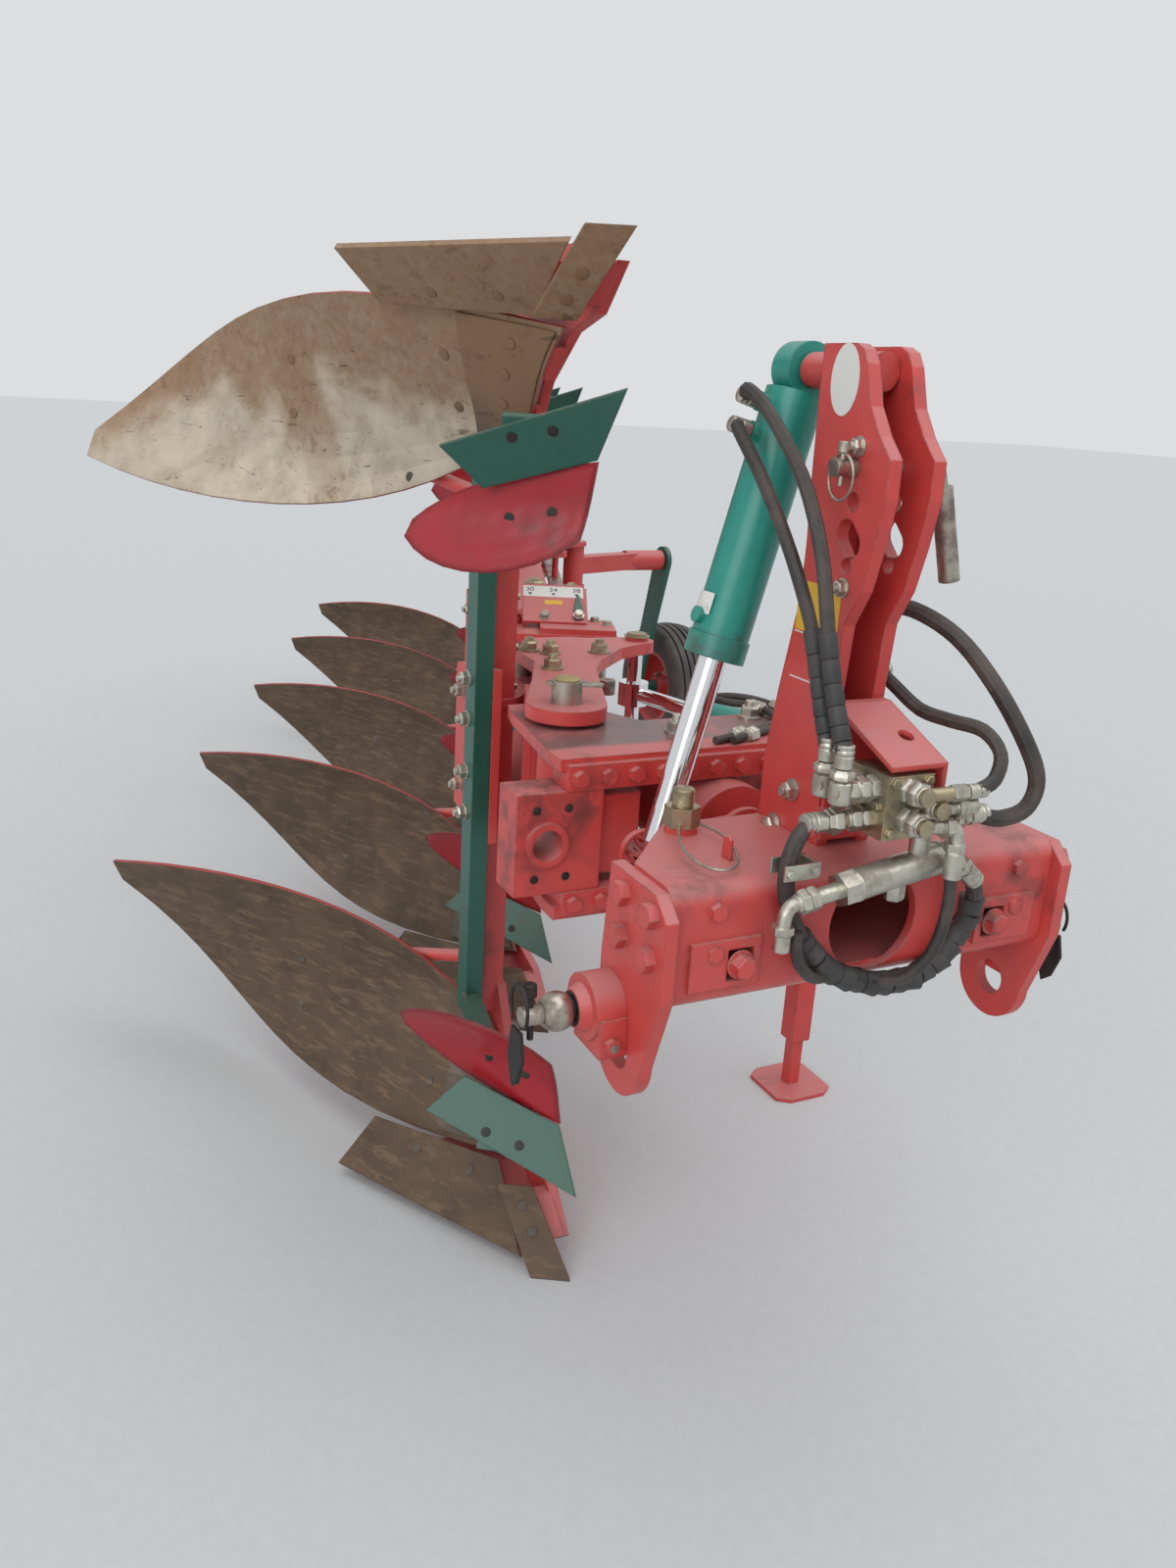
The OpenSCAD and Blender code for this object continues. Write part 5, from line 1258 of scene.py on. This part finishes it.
class PLOUGH_OT_stage(bpy.types.Operator):
    """Pale floor, soft studio light and the photograph's camera"""

    bl_idname = "plough.stage"
    bl_label = "Stage"

    def execute(self, context):
        scene = context.scene
        mesh = bpy.data.meshes.new("floor")
        reach, gap = 60, 0.0005
        corners = [(x, y, GROUND_Z - gap) for x, y in rectangle(-reach, reach, -reach, reach)]
        mesh.from_pydata(corners, [], [(0, 1, 2, 3)])
        mesh.materials.append(finishes["pale_floor"])
        floor = bpy.data.objects.new("floor", mesh)
        scene.collection.objects.link(floor)

        yaw, pitch, roll = math.radians(26.66), math.radians(17.64), math.radians(3.45)
        ahead = Vector((-math.cos(yaw) * math.cos(pitch), math.sin(yaw) * math.cos(pitch), -math.sin(pitch)))
        right = Vector((math.sin(yaw), math.cos(yaw), 0))
        up = right.cross(ahead)
        u = math.cos(roll) * right + math.sin(roll) * up
        v = math.cos(roll) * up - math.sin(roll) * right
        focal_pixels, picture_pixels, sensor = 1255.2, 1600, 36
        lens = bpy.data.cameras.new("camera")
        lens.lens = focal_pixels / picture_pixels * sensor
        lens.sensor_width = sensor
        camera = bpy.data.objects.new("camera", lens)
        eye = Matrix.Translation((1.358, -1.089, 0.687 + AXIS_H))
        camera.matrix_world = eye @ Matrix((u, v, -ahead)).transposed().to_4x4()
        scene.collection.objects.link(camera)
        scene.camera = camera

        for name, place, aim, soft, power in (
            ("roof_light", (0.6, 0.5, 5.0), (-0.6, -0.2, 0.0), 75, 1.4),
            ("front_fill", (2.7, -5.0, 2.6), (-0.6, 0.0, 0.0), 45, 1.0),
        ):
            lamp = bpy.data.lights.new(name, "SUN")
            lamp.angle = math.radians(soft)
            lamp.energy = power
            obj = bpy.data.objects.new(name, lamp)
            obj.location = place
            obj.rotation_euler = (Vector(aim) - Vector(place)).to_track_quat("-Z", "Y").to_euler()
            scene.collection.objects.link(obj)

        world = bpy.data.worlds.new("studio")
        world.use_nodes = True
        scene.world = world
        g = Graph(world.node_tree)
        g.tree.nodes.clear()
        path = g.node("ShaderNodeLightPath").outputs
        seen = Num(g, path["Is Camera Ray"])
        for kind in ("Is Glossy Ray", "Is Transmission Ray"):
            seen = seen.most(Num(g, path[kind]))
        light = g.node("ShaderNodeBackground", None, {"Color": (0.9, 0.95, 1.0, 1.0), "Strength": 0.55})
        pale = g.node("ShaderNodeBackground", None, {"Color": (0.72, 0.73, 0.74, 1.0), "Strength": 1.0})
        mix = g.node("ShaderNodeMixShader")
        g.feed(mix.inputs[0], seen)
        g.feed(mix.inputs[1], light.outputs[0])
        g.feed(mix.inputs[2], pale.outputs[0])
        g.feed(g.node("ShaderNodeOutputWorld").inputs[0], mix.outputs[0])
        scene.view_settings.view_transform = "Standard"
        return {"FINISHED"}


STEPS = (
    PLOUGH_OT_finishes,
    PLOUGH_OT_headstock_fasteners,
    PLOUGH_OT_labels,
    PLOUGH_OT_hoses,
    PLOUGH_OT_frame_fasteners,
    PLOUGH_OT_bodies,
    PLOUGH_OT_wheel,
    PLOUGH_OT_stage,
)


class PLOUGH_PT_panel(bpy.types.Panel):
    """Sizes, colours and steps of the plough"""

    bl_idname = "PLOUGH_PT_panel"
    bl_label = "Plough"
    bl_space_type = "VIEW_3D"
    bl_region_type = "UI"
    bl_category = "Plough"

    def draw(self, context):
        for group in (context.scene.plough_sizes, context.scene.plough_colors):
            for name in type(group).__annotations__:
                self.layout.prop(group, name)
        for step in STEPS:
            self.layout.operator(step.bl_idname)


def register():
    for kind in (Sizes, Colors, *STEPS, PLOUGH_PT_panel):
        bpy.utils.register_class(kind)
    bpy.types.Scene.plough_sizes = bpy.props.PointerProperty(type=Sizes)
    bpy.types.Scene.plough_colors = bpy.props.PointerProperty(type=Colors)


def unregister():
    del bpy.types.Scene.plough_sizes
    del bpy.types.Scene.plough_colors
    for kind in (PLOUGH_PT_panel, *reversed(STEPS), Colors, Sizes):
        bpy.utils.unregister_class(kind)


def main():
    """Runs every step."""
    register()
    for step in STEPS:
        group, name = step.bl_idname.split(".")
        getattr(getattr(bpy.ops, group), name)()


if __name__ == "__main__":
    main()
